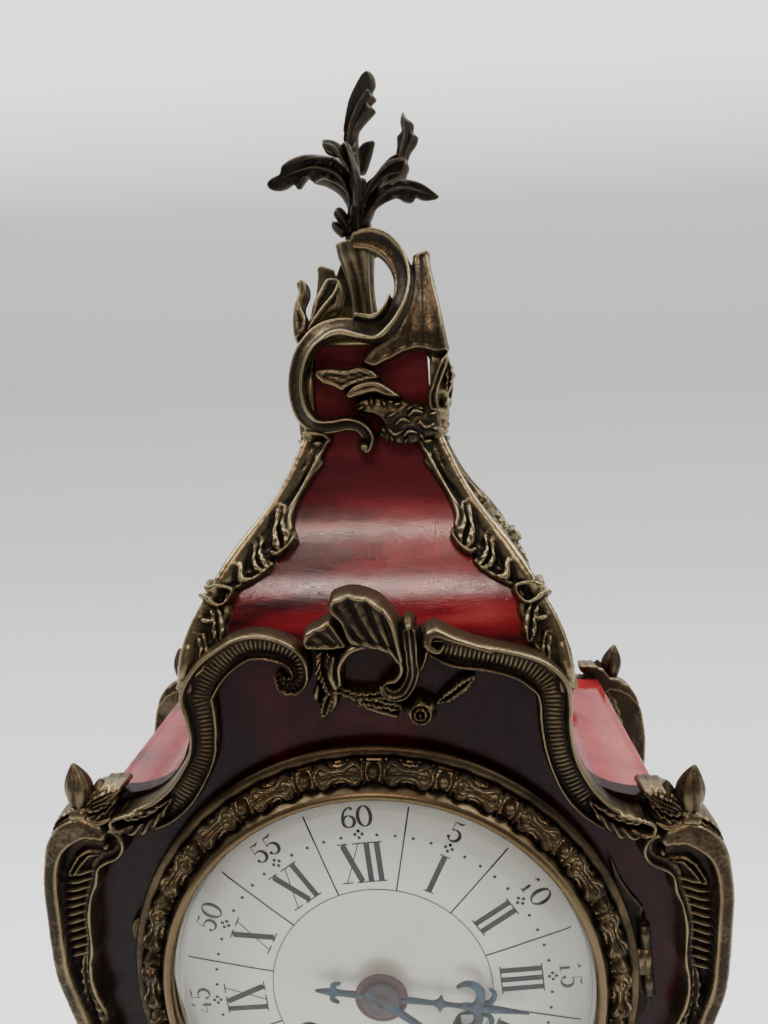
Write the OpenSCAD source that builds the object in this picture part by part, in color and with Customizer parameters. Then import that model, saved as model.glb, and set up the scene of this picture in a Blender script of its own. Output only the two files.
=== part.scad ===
// Small waisted mantel clock: a veneered wooden case with bronze mounts and a pagoda roof,
// a hinged glazed bezel, an enamel dial and a two-train drum movement with a short pendulum.
// The clock faces -Y, stands on the plane z = 0 and is centred on the z axis. Sizes in mm.

/* [Case] */
// Height of the dial centre above the table
dial_z = 172; // [166:0.5:184]
// Depth of the case over its front and back boards
case_d = 66.6; // [64:0.2:74]
// Thickness of the case boards
board = 4; // [3:0.25:4.5]
// Top of the arched boards above the dial centre
arch_h = 78; // [76:0.5:81]
// Half width of the neck under the roof
neck_w = 39.5; // [38:0.5:41.5]
// Top of the neck above the dial centre
neck_z = 66; // [64:0.5:68]
// Half width of the case at its shoulders
shoulder_w = 59.5; // [58:0.5:62]
// Height of the shoulders above the dial centre
shoulder_z = 43; // [41:0.5:45]
// Half width of the case beside the dial
belly_w = 67.5; // [66:0.5:70]
// Half width of the waist
waist_w = 45; // [42:0.5:50]
// Depth of the waist below the dial centre
waist_z = 92; // [86:0.5:98]
// Half width of the case at its lower edge
skirt_w = 56; // [52:0.5:60]
// Lower edge of the case below the dial centre
skirt_z = 142; // [138:0.5:146]
// Height of the moulded base under the case
base_h = 7; // [5:0.5:9]
// How far the moulded base stands out at the sides
base_out = 3; // [2:0.5:4]

/* [Roof] */
// Height of the roof above the neck
roof_h = 51; // [46:0.5:56]
// Half width of the roof where the crown sits on it
roof_top_w = 13.2; // [12:0.2:15]
// Height of the block inside the crown
cap_h = 21; // [18:0.5:24]

/* [Mounts] */
// Width of the arch moulding
arch_w = 6.2; // [5:0.2:7.5]
// Height of the arch moulding over the boards
arch_t = 4.6; // [3.5:0.2:6]
// How far the corner mounts stand out from the side of the case
corner_out = 6.5; // [5:0.25:8]
// Width of the flat band of the corner mounts
band_w = 4; // [3:0.25:5]
// How far the corner mounts stand out from the front of the case
corner_t = 6; // [4.5:0.25:7]
// Height of the bud on a corner mount
bud_h = 10.5; // [8:0.5:13]
// Height of the leaf spray above the crown
spray_h = 38; // [32:0.5:42]
// Radius of the pad under each foot
pad_r = 5.5; // [4:0.5:7]

/* [Dial and bezel] */
// Radius of the dial that shows inside the bezel
sight_r = 46; // [44:0.5:48]
// Height of the bezel over the front board
bezel_h = 8; // [7:0.25:9]
// Beads round the bezel
bead_n = 22; // [16:1:28]
// Thickness of the glass
glass_t = 1.6; // [1.4:0.1:2]
// Height of the middle of the dial over the front board
dial_p = 5; // [4:0.1:5.2]
// Turn of the dial and movement in the case, to the left, in degrees
dial_turn = 6; // [0:0.5:12]
// Hour shown
hour = 3; // [0:1:11]
// Minute shown
minute = 22; // [0:1:59]

/* [Movement] */
// Radius of the movement plates
plate_r = 37; // [36:0.5:39]
// Thickness of the movement plates
plate_t = 2; // [1.5:0.1:2.5]
// Distance between the movement plates
plate_gap = 30; // [29:0.5:32]
// Running clearance of a pivot in its hole, on the radius
fit = 0.05; // [0.02:0.01:0.08]
// Pendulum length from its axis to the middle of the bob
pendulum_l = 141; // [130:1:146]
// Radius of the bob
bob_r = 14; // [11:0.5:16]
// Radius of the bell
bell_r = 27; // [24:0.5:29]

/* [Hidden] */
$fn = 48;

half_d = case_d / 2;
face_y = -half_d;
// Depth of the roof's top beside its width, as the case is
roof_top_d = roof_top_w * 0.94;
roof_z = neck_z + roof_h;
cap_z = roof_z + cap_h;

// Turns a point list over x = 0 to close a symmetric outline
function both(h) = concat(h, [for (i = [len(h) - 1 : -1 : 0]) if (h[i][0] > 0.01) [-h[i][0], h[i][1]]]);
// One stretch of a smooth curve through points b and c
function bend(a, b, c, d, t) = 0.5 * ((2 * b) + (c - a) * t + (2 * a - 5 * b + 4 * c - d) * t * t
    + (3 * b - a - 3 * c + d) * t * t * t);
// A smooth curve through all points of p, with n steps between two points
function curve(p, n = 4) = [for (i = [0 : len(p) - 2]) for (k = [0 : n - 1])
    bend(i > 0 ? p[i - 1] : 2 * p[0] - p[1], p[i], p[i + 1],
        i + 2 < len(p) ? p[i + 2] : 2 * p[i + 1] - p[i], k / n), p[len(p) - 1]];
function heading(p, i) = let (v = p[min(i + 1, len(p) - 1)] - p[max(i - 1, 0)]) v / norm(v);
// y of a height over the front of the case
function proud(p) = face_y - p;

// A flat piece between two planes across y, with its outline in x and z
module slab(y0, y1) translate([0, y1, 0]) rotate([90, 0, 0]) linear_extrude(y1 - y0) children();
module rod(r, y0, y1) translate([0, y1, 0]) rotate([90, 0, 0]) cylinder(r = r, h = y1 - y0);
module at(c) translate([c[0], 0, c[1]]) children();
// A turned ring about the dial axis, its outline in radius and height over the front
module turned(pts) translate([0, face_y, 0]) rotate([90, 0, 0]) rotate_extrude($fn = 96) polygon(pts);
// Things placed from the dial centre, upright and turned with the movement
module at_dial() translate([0, 0, dial_z]) children();
module drum() translate([0, 0, dial_z]) rotate([0, -dial_turn, 0]) children();
module to_rear() mirror([0, 1, 0]) children();
module to_left() mirror([1, 0, 0]) children();

// Joins rings of equal point counts into one closed solid
module skin(rings) {
    n = len(rings);
    m = len(rings[0]);
    polyhedron([for (r = rings) for (q = r) q], concat(
        [[for (j = [0 : m - 1]) j]], [[for (j = [m - 1 : -1 : 0]) (n - 1) * m + j]],
        [for (i = [0 : n - 2]) for (j = [0 : m - 1]) for (s = [0, 1])
            let (a = i * m + j, b = i * m + (j + 1) % m) s == 0 ? [a, a + m, b] : [b, a + m, b + m]]));
}

// Widths that swell from a to b and fall to c along n points
function swell(n, a, b, c, peak = 0.4) = [for (i = [0 : n - 1]) let (t = i / (n - 1))
    t < peak ? a + (b - a) * sin(90 * t / peak) : c + (b - c) * cos(90 * (t - peak) / (1 - peak))];
function even(n, a) = [for (i = [0 : n - 1]) a];
// The outline of a band along a path with a half width at each point
function edge_points(path, w, side) = [for (i = [0 : len(path) - 1]) let (t = heading(path, i))
    path[i] + side * w[i] * [t[1], -t[0]]];
function outline_of(path, w) = concat(edge_points(path, w, 1),
    let (e = edge_points(path, w, -1)) [for (i = [len(e) - 1 : -1 : 0]) e[i]]);
// A cast band in two steps: its width, and a lip along its outer edge
module band(path, w) offset(delta = 0.01) polygon(outline_of(path, w));
module stepped(path, w, t) {
    slab(proud(t * 0.55), proud(0)) band(path, w);
    slab(proud(t), proud(t * 0.3)) band(edge_points(path, w, 0.5), [for (v = w) v * 0.36]);
}

// Case outline, from the dial centre
arch_edge = curve([[0, arch_h], [neck_w * 0.33, arch_h - 0.8], [neck_w * 0.63, arch_h - 3.6],
    [neck_w * 0.87, arch_h - 8], [neck_w, neck_z]], 4);
cove_edge = [for (k = [1 : 9]) let (a = k * 10)
    [shoulder_w - (shoulder_w - neck_w) * pow(cos(a), 0.7), neck_z - (neck_z - shoulder_z) * pow(sin(a),
        0.7)]];
side_edge = curve([[shoulder_w, shoulder_z], [shoulder_w + 3.6, shoulder_z - 7.5],
    [belly_w - 1.2, 22], [belly_w, 8], [belly_w - 2, -13],
    [waist_w + (belly_w - waist_w) * 0.6, -40], [waist_w + (belly_w - waist_w) * 0.22, -waist_z * 0.74],
    [waist_w, -waist_z], [waist_w + (skirt_w - waist_w) * 0.16, -waist_z - 15],
    [waist_w + (skirt_w - waist_w) * 0.58, -waist_z - 32], [skirt_w, -skirt_z]], 4);
function tail(p) = [for (i = [1 : len(p) - 1]) p[i]];
board_outline = both(concat(arch_edge, cove_edge, tail(side_edge)));
shell_outline = both(concat([[0, neck_z], [neck_w, neck_z]], cove_edge, tail(side_edge)));

// Holes through the case for the drum movement
dial_hole_r = sight_r + 2.5;
back_hole_r = sight_r;

module front_board() color("#3a1218") at_dial() difference() {
    slab(face_y, face_y + board) polygon(board_outline);
    rod(dial_hole_r, face_y - 1, face_y + board + 1);
}

module case_shell() color("#8d2a26") at_dial() difference() {
    slab(face_y + board, half_d - board) polygon(shell_outline);
    slab(face_y, half_d) offset(delta = -board) polygon(shell_outline);
}

module back_board() color("#3a1218") at_dial() difference() {
    slab(half_d - board, half_d) polygon(board_outline);
    rod(back_hole_r, half_d - board - 1, half_d + 1);
}

// Ogee line of a roof side as half widths over heights from the neck
ogee = [[0, 1], [0.1, 0.965], [0.2, 0.91], [0.35, 0.775], [0.51, 0.57], [0.667, 0.33], [0.82, 0.145], [1,
    0]];
function roof_side(w, top, lift) = concat([[0, lift]], [for (q = curve(ogee, 3))
    [top + (w - top) * q[1], lift + roof_h * q[0]]]);
module roof_form(w, d, top_w, top_d, lift, cap) {
    side_x = concat(roof_side(w, top_w, lift), [[top_w - 1, cap], [0, cap]]);
    side_y = concat(roof_side(d, top_d, lift), [[top_d - 1, cap], [0, cap]]);
    intersection() {
        slab(-half_d - 1, half_d + 1) polygon(both(side_x));
        rotate([0, 0, 90]) slab(-neck_w - 1, neck_w + 1) polygon(both(side_y));
    }
}
module roof() color("#a03028") at_dial() difference() {
    roof_form(neck_w, half_d, roof_top_w, roof_top_d, neck_z, cap_z);
    roof_form(neck_w - board, half_d - board, roof_top_w - board, roof_top_d - board,
        neck_z - board * 0.8, cap_z - board);
    slab(face_y - 2, face_y + board) polygon(board_outline);
    slab(half_d - board, half_d + 2) polygon(board_outline);
    translate([0, 0, cap_z - board - 1]) cylinder(r = rod_r + fit, h = board + 2);
    translate([-neck_w, -half_d, neck_z - 2 * board]) cube([2 * neck_w, case_d, 2 * board]);
}

// The base is moulded on all four sides
function base_side(w) = [[0, -skirt_z], [w, -skirt_z], [w + base_out * 0.35, -skirt_z - base_h * 0.2],
    [w + base_out * 0.5, -skirt_z - base_h * 0.5], [w + base_out, -skirt_z - base_h * 0.7],
    [w + base_out, -skirt_z - base_h], [0, -skirt_z - base_h]];
module base_moulding() color("#5a1a1c") at_dial() intersection() {
    slab(-half_d - base_out - 1, half_d + base_out + 1) polygon(both(base_side(skirt_w)));
    rotate([0, 0, 90]) slab(-skirt_w - base_out - 1, skirt_w + base_out + 1)
        polygon(both(base_side(half_d)));
}

// Finial: a trunk of leaves standing on the crown
rod_r = 1.5;
crown_top = cap_z + 24;
trunk_x = -3.5;
// Each leaf: its turn about the stem, how far it stands off the stem's middle and its outline
spray_leaves = [
    [0, 0, [[2.2, 0], [2.4, 8], [3.4, 14], [2.6, 18], [4.6, 20.6], [5, 24], [5.6, 28], [5.8, 33], [5.2,
        37], [4, 38],
        [1.6, 36], [-0.4, 31], [-1.6, 25], [-2, 20], [-2.2, 14], [-1.8, 6], [-2, 0]]],
    [8, -0.9, [[1, 8], [1, 16], [-1.2, 18.6], [-4.6, 20.6], [-7, 20.4], [-6.4, 19], [-9.4, 18.6], [-13.6,
        18.6],
        [-17, 16.6], [-19.5, 13.4], [-18.8, 11.4], [-15.4, 12.4], [-13.4, 11.2], [-11, 13.4], [-8, 13.6],
            [-5, 12.6],
        [-3, 10]]],
    [-10, 0.8, [[0, 4], [4, 8.6], [8, 10], [12, 9.6], [14.6, 7.6], [16, 8.2], [18.6, 8.6], [16.6, 11.4],
        [13, 13.2],
        [10.4, 13.6], [9, 16.6], [11.6, 18], [13.4, 20.6], [14, 23.6], [12.4, 24.4], [11.4, 27.4], [10.4,
            24.4],
        [10.6, 20], [8.4, 17.2], [4.6, 14.6], [1, 10]]],
    [-80, 0, [[0, 6], [3, 12], [7, 13.4], [11, 10.6], [13.4, 11.4], [10.6, 15.6], [6, 17.4], [2, 15.4],
        [0, 12]]],
    [95, 0, [[0, 7], [3, 12], [7, 14], [12, 12], [13.6, 13], [10, 17], [5, 18], [1, 14]]]];
module finial_spray() color("#4c4327") at_dial() translate([trunk_x, 0, crown_top]) {
    for (leaf = spray_leaves) rotate([0, 0, leaf[0]]) slab(leaf[1] - 0.9, leaf[1] + 0.9)
        polygon([for (q = leaf[2]) [q[0], q[1] * spray_h / 38]]);
    translate([0, 0, -2.5]) cylinder(r1 = 2.6, r2 = 1.7, h = 14, $fn = 24);
    translate([0, 0, -4]) cylinder(r = 3, h = 2.2, $fn = 24);
    translate([0, 0, -10]) cylinder(r = stud_r, h = 7);
}

// Crown: scrolled plates round the block on top of the roof, and a leaning trunk of leaves
crown_y = -roof_top_d - 0.4;
crown_t = 2.8;
crown_lean = 25;
lean_z = 22;
scroll_path = curve([[4.4, 25.4], [1, 22.8], [-5, 24.4], [-11, 23.6], [-15.2, 19], [-16.6, 11], [-14.6,
    4.4],
    [-10, 3.6], [-5, 4.4], [-0.8, 4]], 4);
panel_edge = curve([[16.7, lean_z + 0.4], [16.6, 20], [14.6, 16], [13, 11], [13.6, 6], [15.6, 1]], 4);
cluster_edge = curve([[-3.6, 6], [-1, 9.6], [3, 8.2], [5.6, 11], [9, 9.4], [12.4, 11.6], [14.6, 6], [14,
    1.2], [6, 0.6],
    [1, 2], [-3.6, 6]], 3);
frond_edge = curve([[-12.6, 14.8], [-8, 17], [-3.6, 15.6], [0, 17.8], [6, 18.4], [13.6, 19.8], [13.2,
    17], [8, 14.6],
    [1, 13.4], [-4, 12.4], [-9, 12.6], [-12.6, 14.8]], 3);
loop_path = curve([[-0.6, 0], [4.6, 2.4], [7.8, 8], [7.6, 14.6], [4.4, 20], [0.4, 21.4], [-3, 20]], 4);
panel_top = [[6.6, 0.5], [16.7, 0.5], [16.2, 6], [14.6, 14], [13.2, 20.5], [10, 20.5], [9.4, 12], [8.4, 5]];
module crown_face() {
    translate([0, 0, roof_z]) {
        slab(crown_y - crown_t, crown_y + 0.4) polygon(outline_of(scroll_path, even(len(scroll_path),
            2.1)));
        slab(crown_y - crown_t + 0.6, crown_y + 0.4) polygon(concat(panel_edge,
            [for (i = [len(panel_edge) - 1 : -1 : 0]) panel_edge[i] - [3, 0]]));
        slab(crown_y - crown_t + 0.3, crown_y + 0.4) polygon(tail(cluster_edge));
        slab(crown_y - crown_t + 1, crown_y + 0.4) polygon(tail(frond_edge));
    }
    translate([0, crown_y, roof_z + lean_z]) rotate([-crown_lean, 0, 0]) {
        slab(-crown_t, 0) polygon(outline_of(loop_path, even(len(loop_path), 1.6)));
        slab(-crown_t + 0.6, 0) polygon(panel_top);
    }
}
module crown_side() translate([0, 0, roof_z]) {
    slab(-crown_x - crown_t + 0.4, 0.4 - crown_x) polygon(tail(cluster_edge));
    slab(-crown_x - crown_t + 0.8, 0.4 - crown_x) polygon([[-12, 8], [-9, 7], [-8.6, 16], [-6, 24], [-9,
        31], [-12.6, 33],
        [-11, 25], [-13, 17]]);
}
trunk_l = crown_top - 4 - cap_z - 1;
module crown() color("#57492a") at_dial() {
    for (a = [0, 180]) rotate([0, 0, a]) crown_face();
    for (a = [90, 270]) rotate([0, 0, a]) crown_side();
    // Foot plate and leaning trunk
    difference() {
        union() {
            translate([-crown_x, crown_y, cap_z]) cube([2 * crown_x, -2 * crown_y, 1.6]);
            multmatrix([[1, 0, trunk_x / trunk_l, 0], [0, 1, 0, 0], [0, 0, 1, cap_z + 1], [0, 0, 0, 1]])
                cylinder(r1 = 4.2, r2 = 3.4, h = trunk_l, $fn = 24);
        }
        translate([0, 0, cap_z - 1]) cylinder(r = rod_r, h = 9);
        translate([trunk_x, 0, crown_top - 10]) cylinder(r = stud_r, h = 8);
    }
}
crown_x = roof_top_w + 0.4;
stud_r = 1.2;

module finial_rod() color("#7a7a78") at_dial() {
    translate([0, 0, cap_z - board - 4]) cylinder(r = rod_r, h = board + 12);
    translate([0, 0, cap_z - board - 2.6]) cylinder(r = 3.2, h = 2.6, $fn = 6);
}

// Leaf mounts on the corners of the roof, as slices along the edge of the roof
// Each slice: height over the neck as a share of the roof, flap width, thickness
roof_leaf = [[0.02, 3, 1.2], [0.08, 4.5, 1.9], [0.16, 6.5, 2.4], [0.25, 8, 2.6], [0.33, 8, 2.2], [0.38,
    5.6, 1.7],
    [0.45, 4.8, 2.2], [0.5, 6.2, 2.6], [0.56, 8, 2.2], [0.6, 5.2, 1.8], [0.66, 7, 2.6], [0.72, 6.4, 2.4],
    [0.76, 4.6, 1.8], [0.86, 4.2, 1.7], [0.95, 4.6, 1.8], [1, 3.2, 1.4]];
function roof_half(w, top, share) = let (q = curve(ogee, 8),
    k = [for (i = [0 : len(q) - 2]) if (q[i][0] <= share && q[i + 1][0] >= share - 0.00001) i][0],
    f = (share - q[k][0]) / (q[k + 1][0] - q[k][0]))
    top + (w - top) * (q[k][1] + (q[k + 1][1] - q[k][1]) * f);
module roof_mount() color("#57492a") at_dial() skin([for (s = curve(roof_leaf, 2))
    let (x = roof_half(neck_w, roof_top_w, s[0]) + 0.08,
        a = s[1], t = s[2], z = neck_z + 1.5 + (roof_h - 1.5) * s[0],
        y = -max(roof_half(half_d, roof_top_d, s[0]) + 0.08, z < lookup(x - a,
            arch_edge) + 0.3 ? half_d + 0.02 : 0))
    [[x - a, y, z], [x - a, y - t * 0.5, z], [x - a * 0.6, y - t, z], [x - a * 0.25,
        y - t * 0.7, z],
        [x + t * 0.9, y - t * 0.9, z], [x + t * 0.7, y + a * 0.25, z], [x + t, y + a * 0.6, z],
        [x + t * 0.5, y + a, z], [x, y + a, z], [x, y, z]]]);
module roof_mount_fr() roof_mount();
module roof_mount_fl() to_left() roof_mount();
module roof_mount_rr() to_rear() roof_mount();
module roof_mount_rl() to_rear() to_left() roof_mount();

// Arch moulding along the top of the front board, from the shoulder to the crest
arch_low = [[shoulder_w - 3.4, shoulder_z - 5.6], [shoulder_w - 7.5, shoulder_z - 4.8],
    [shoulder_w - 12, shoulder_z - 2.6], [neck_w + 2.4, shoulder_z + 2.4], [neck_w - 0.4, shoulder_z + 9.6],
    [neck_w - 1.6, neck_z - 6.3], [neck_w - 2, neck_z + 0.6], [neck_w - 6.6, arch_h - 6.2],
    [neck_w - 12.7, arch_h - 3.6]];
arch_right = curve(concat(arch_low, [[neck_w * 0.5, arch_h - 2.2], [neck_w * 0.38, arch_h - 0.6],
    [neck_w * 0.31, arch_h + 2.6]]), 4);
arch_left = curve(concat(arch_low, [[neck_w * 0.51, arch_h - 2.6], [neck_w * 0.41, arch_h - 6],
    [neck_w * 0.4, arch_h - 10.4], [neck_w * 0.48, arch_h - 12.4]]), 4);
// Widths that start narrow at the leaf end
function arch_widths(n, finish) = [for (i = [0 : n - 1]) arch_w / 2
    * min(1, 0.45 + i * 0.12) * (i > n - 5 ? finish : 1)];
// Pockets behind the moulding for the toes of the roof mounts
module toe_pockets() for (s = [-1, 1]) translate([s * (neck_w - 2.5) - 6.5, proud(1.8), neck_z + 0.8])
    cube([13, 2.8, 10]);
module arch_mount() color("#57492a") at_dial() {
    difference() {
        union() {
            stepped(arch_right, arch_widths(len(arch_right), 0.9), arch_t);
            to_left() stepped(arch_left, arch_widths(len(arch_left), 0.7), arch_t);
        }
        toe_pockets();
    }
    crest();
}
module rear_arch_mount() color("#57492a") at_dial() to_rear() difference() {
    rear_path = curve(concat(arch_low, [[neck_w * 0.4, arch_h - 1.5], [0, arch_h - 0.4]]), 4);
    union() {
        stepped(rear_path, arch_widths(len(rear_path), 1), arch_t);
        to_left() stepped(rear_path, arch_widths(len(rear_path), 1), arch_t);
    }
    toe_pockets();
}

// Rocaille crest over the middle of the arch, from the top of the arch
crest_k = neck_w / 39.5;
crest_fan_x = 1.8 * crest_k;
crest_fan_z = -3 * crest_k;
// A fluted shell: ribs spread from its foot between two angles
module fan(from, to, reach, ribs, lift) {
    step = (to - from) / ribs;
    slab(proud(lift * 0.75), proud(0)) polygon(concat([[0, 0]],
        [for (k = [0 : ribs * 4]) let (a = from + k * step / 4)
        reach * (1 - 0.05 * abs(cos(45 * k))) * [cos(a), sin(a)]]));
    for (k = [0 : ribs - 1]) let (a = from + (k + 0.5) * step)
        slab(proud(lift), proud(0.3)) polygon([for (q = [[0.3, -0.15], [0.9, -0.36], [0.97, 0], [0.9,
            0.36], [0.3, 0.15]])
            reach * q[0] * [cos(a + q[1] * step), sin(a + q[1] * step)]]);
}
crest_edge = [[-8.6, -1], [-12, -2.6], [-14, -6.6], [-13, -10.4], [-10, -10], [-9.9, -14], [-8.6, -18],
    [-6.8, -13.2], [-4.5, -12.6], [0, -13.6], [4.8, -15.4], [6.4, -17.8], [9.8, -18.8], [12.8, -17.2],
        [13.8, -14.4],
    [20.3, -9.8], [18.6, -7.6], [13, -10.2], [10.6, -10.6], [10.8, -5], [11.2, 0], [10, 4.4], [6.6, 4.6],
        [6.2, -2.5],
    [4.6, -0.8], [0, 0.6], [-4.5, 0]];
crest_gap = [[-5.2, -5], [-2.6, -1.9], [2, -1.6], [5, -4.2], [3.2, -8], [-2.5, -9]];
module crest() translate([0, 0, arch_h]) {
    translate([crest_fan_x, 0, crest_fan_z + 2.6 * crest_k]) fan(66, 146, 11.4 * crest_k, 6, arch_t * 1.2);
    difference() {
        slab(proud(arch_t * 0.85), proud(0)) polygon(crest_edge * crest_k);
        slab(proud(arch_t), proud(-1)) polygon(crest_gap * crest_k);
    }
    at(crest_k * [9.8, -14.8]) {
        rod(3, proud(arch_t), proud(0.5));
        rod(1.6, proud(arch_t + 0.9), proud(0.5));
    }
}

// Corner mounts: a flat band that bends round a leaf web on the shoulder, with a bud on top
side_off = corner_out - band_w / 2;
corner_path = curve([[shoulder_w - 0.8, shoulder_z - 8.6], [shoulder_w + 0.8, shoulder_z - 5.4],
    [shoulder_w + 4.8, shoulder_z - 4.8], [belly_w + 1.2, shoulder_z - 9.2],
    [belly_w + side_off - 1, 26], [belly_w + side_off + 0.2, 17], [belly_w + side_off, 8],
    [belly_w + side_off - 2, -4], [belly_w + side_off - 7, -18],
    [waist_w + (belly_w - waist_w) * 0.56 + side_off * 0.7, -38],
    [waist_w + (belly_w - waist_w) * 0.34 + side_off * 0.3, -54], [waist_w + (belly_w - waist_w) * 0.26,
        -64]], 3);
corner_half = [for (i = [0 : len(corner_path) - 1]) band_w / 2 * (i < 3 ? 0.62 + 0.15 * i
    : i > 24 ? max(0.3, 1 - (i - 24) * 0.07) : 1)];
web_edge = curve([[shoulder_w - 1, shoulder_z - 7.5], [shoulder_w - 3.6, shoulder_z - 9.6],
    [shoulder_w - 2.6, shoulder_z - 12.6], [shoulder_w + 1.6, shoulder_z - 15.4],
    [shoulder_w + 2.6, shoulder_z - 20], [shoulder_w + 4.8, shoulder_z - 24.5], [shoulder_w + 4.9,
        shoulder_z - 31],
    [shoulder_w + 5.6, shoulder_z - 41], [shoulder_w + 4.4, shoulder_z - 58], [shoulder_w, shoulder_z - 72],
    [waist_w + (belly_w - waist_w) * 0.36, -46], [waist_w + (belly_w - waist_w) * 0.2, -62]], 3);
web_outline = concat(web_edge, [for (i = [len(corner_path) - 2 : -1 : 3]) corner_path[i]]);
module corner_mount() color("#57492a") at_dial() {
    slab(proud(corner_t), proud(0)) polygon(outline_of(corner_path, corner_half));
    slab(proud(3), proud(0)) polygon(web_outline);
    for (k = [0 : 8]) let (z = shoulder_z - 16.5 - 2.7 * k, x = shoulder_w + 3.2 + 2.6 * sin(10 * k))
        translate([x, proud(3), z]) rotate([0, 90, 0]) cylinder(r = 0.95, h = belly_w - x + 1.6, $fn = 16);
    // Return and leafy flange on the side of the case
    difference() {
        slab(proud(0.8), proud(-2.4)) polygon(outline_of(corner_path, corner_half));
        slab(proud(0), proud(-10)) polygon(board_outline);
    }
    difference() {
        slab(proud(2.6), proud(-9)) polygon(outline_of([for (i = [12 : 24]) corner_path[i] - [1.6, 0]],
            even(13, 1.6)));
        slab(proud(0), proud(-10)) polygon(board_outline);
    }
    // Bud on a stem, fluted
    translate([shoulder_w + 5, proud(corner_t - 3.4), shoulder_z - 4.4]) {
        rotate_extrude() polygon([[0, 0], [3.2, 0], [2.4, 1.6], [1.5, 2.4], [2.3, 3.2], [3.3, 5.4], [3.1,
            8],
            [2.2, 10.4 + bud_h * 0.25], [1.1, bud_h + 3.2], [0, bud_h + 4.4]]);
    }
    translate([shoulder_w + 0.4, proud(max(corner_t - 4, 2.25)), shoulder_z - 4]) rotate_extrude()
        polygon([[0, 0], [2.2, 0], [1.4, 1.6], [1.9, 3.4], [1.3, 5.6], [0, 6.8]]);
}
module corner_mount_fr() corner_mount();
module corner_mount_fl() to_left() corner_mount();
module corner_mount_rr() to_rear() corner_mount();
module corner_mount_rl() to_rear() to_left() corner_mount();

// Feet: a riser on the lower corner of the case that ends in a scroll on a pad
floor_z = -dial_z;
foot_x = skirt_w + 3;
scroll_r = 6.2;
scroll_z = floor_z + 1.5 + scroll_r;
foot_path = curve([[waist_w + 0.6, -waist_z - 2], [waist_w + 1.4, -waist_z - 14],
    [waist_w + (skirt_w - waist_w) * 0.5, -waist_z - 28], [skirt_w - 0.6, -skirt_z + 6],
    [skirt_w + base_out + 0.6, -skirt_z - 5], [skirt_w + 1, -skirt_z - base_h - 5],
    [foot_x - scroll_r * 0.86, scroll_z + 2], [foot_x - scroll_r * 0.5, scroll_z - scroll_r * 0.62],
    [foot_x + scroll_r * 0.3, scroll_z - scroll_r * 0.66], [foot_x + scroll_r * 0.7, scroll_z],
    [foot_x + scroll_r * 0.1, scroll_z + scroll_r * 0.4]], 3);
module foot() color("#57492a") at_dial() {
    difference() {
        stepped(foot_path, swell(len(foot_path), 1.2, 3.2, 1.7, 0.5), 5.4);
        base_space();
    }
    difference() {
        slab(proud(0.4), proud(-11)) polygon(outline_of(
            [for (i = [9 : len(foot_path) - 8]) foot_path[i] + [1.2, 0]], even(len(foot_path) - 16, 2.4)));
        slab(proud(0), proud(-12)) polygon(board_outline);
        base_space();
    }
    translate([foot_x, 0, floor_z + 1.2]) slab(proud(4.6), proud(-8)) polygon([[-scroll_r, 0],
        [scroll_r * 0.8, 0],
        [scroll_r, 3], [scroll_r * 0.4, 8], [-scroll_r * 0.4, scroll_z - floor_z + 6], [-scroll_r, 6]]);
    translate([foot_x, proud(-1.6), floor_z]) cylinder(r = pad_r, h = 1.8);
}
module base_space() translate([0, 0, -skirt_z - base_h])
    translate([-skirt_w - base_out, -half_d - base_out, 0]) cube([2 * (skirt_w + base_out),
        case_d + 2 * base_out, base_h]);
module foot_fr() foot();
module foot_fl() to_left() foot();
module foot_rr() to_rear() foot();
module foot_rl() to_rear() to_left() foot();

// Apron mount over the middle of the lower edge
module apron_mount() color("#57492a") at_dial() translate([0, 0, -skirt_z + 4]) {
    translate([0, 0, 2]) fan(0, 180, 9.5, 9, 3.4);
    arm = curve([[5, 3.6], [8.6, 0.6], [13, -1.8], [20, 1.4], [26, 6], [32, 4.6], [33, 0.4], [29.6,
        -0.6]], 3);
    for (s = [0, 1]) mirror([s, 0, 0])
        stepped(arm, swell(len(arm), 1.2, 2.2, 1.3), 2.8);
    translate([0, face_y, 1]) rotate([90, 0, 0]) cylinder(r = 3.2, h = 3.8);
}

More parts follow.
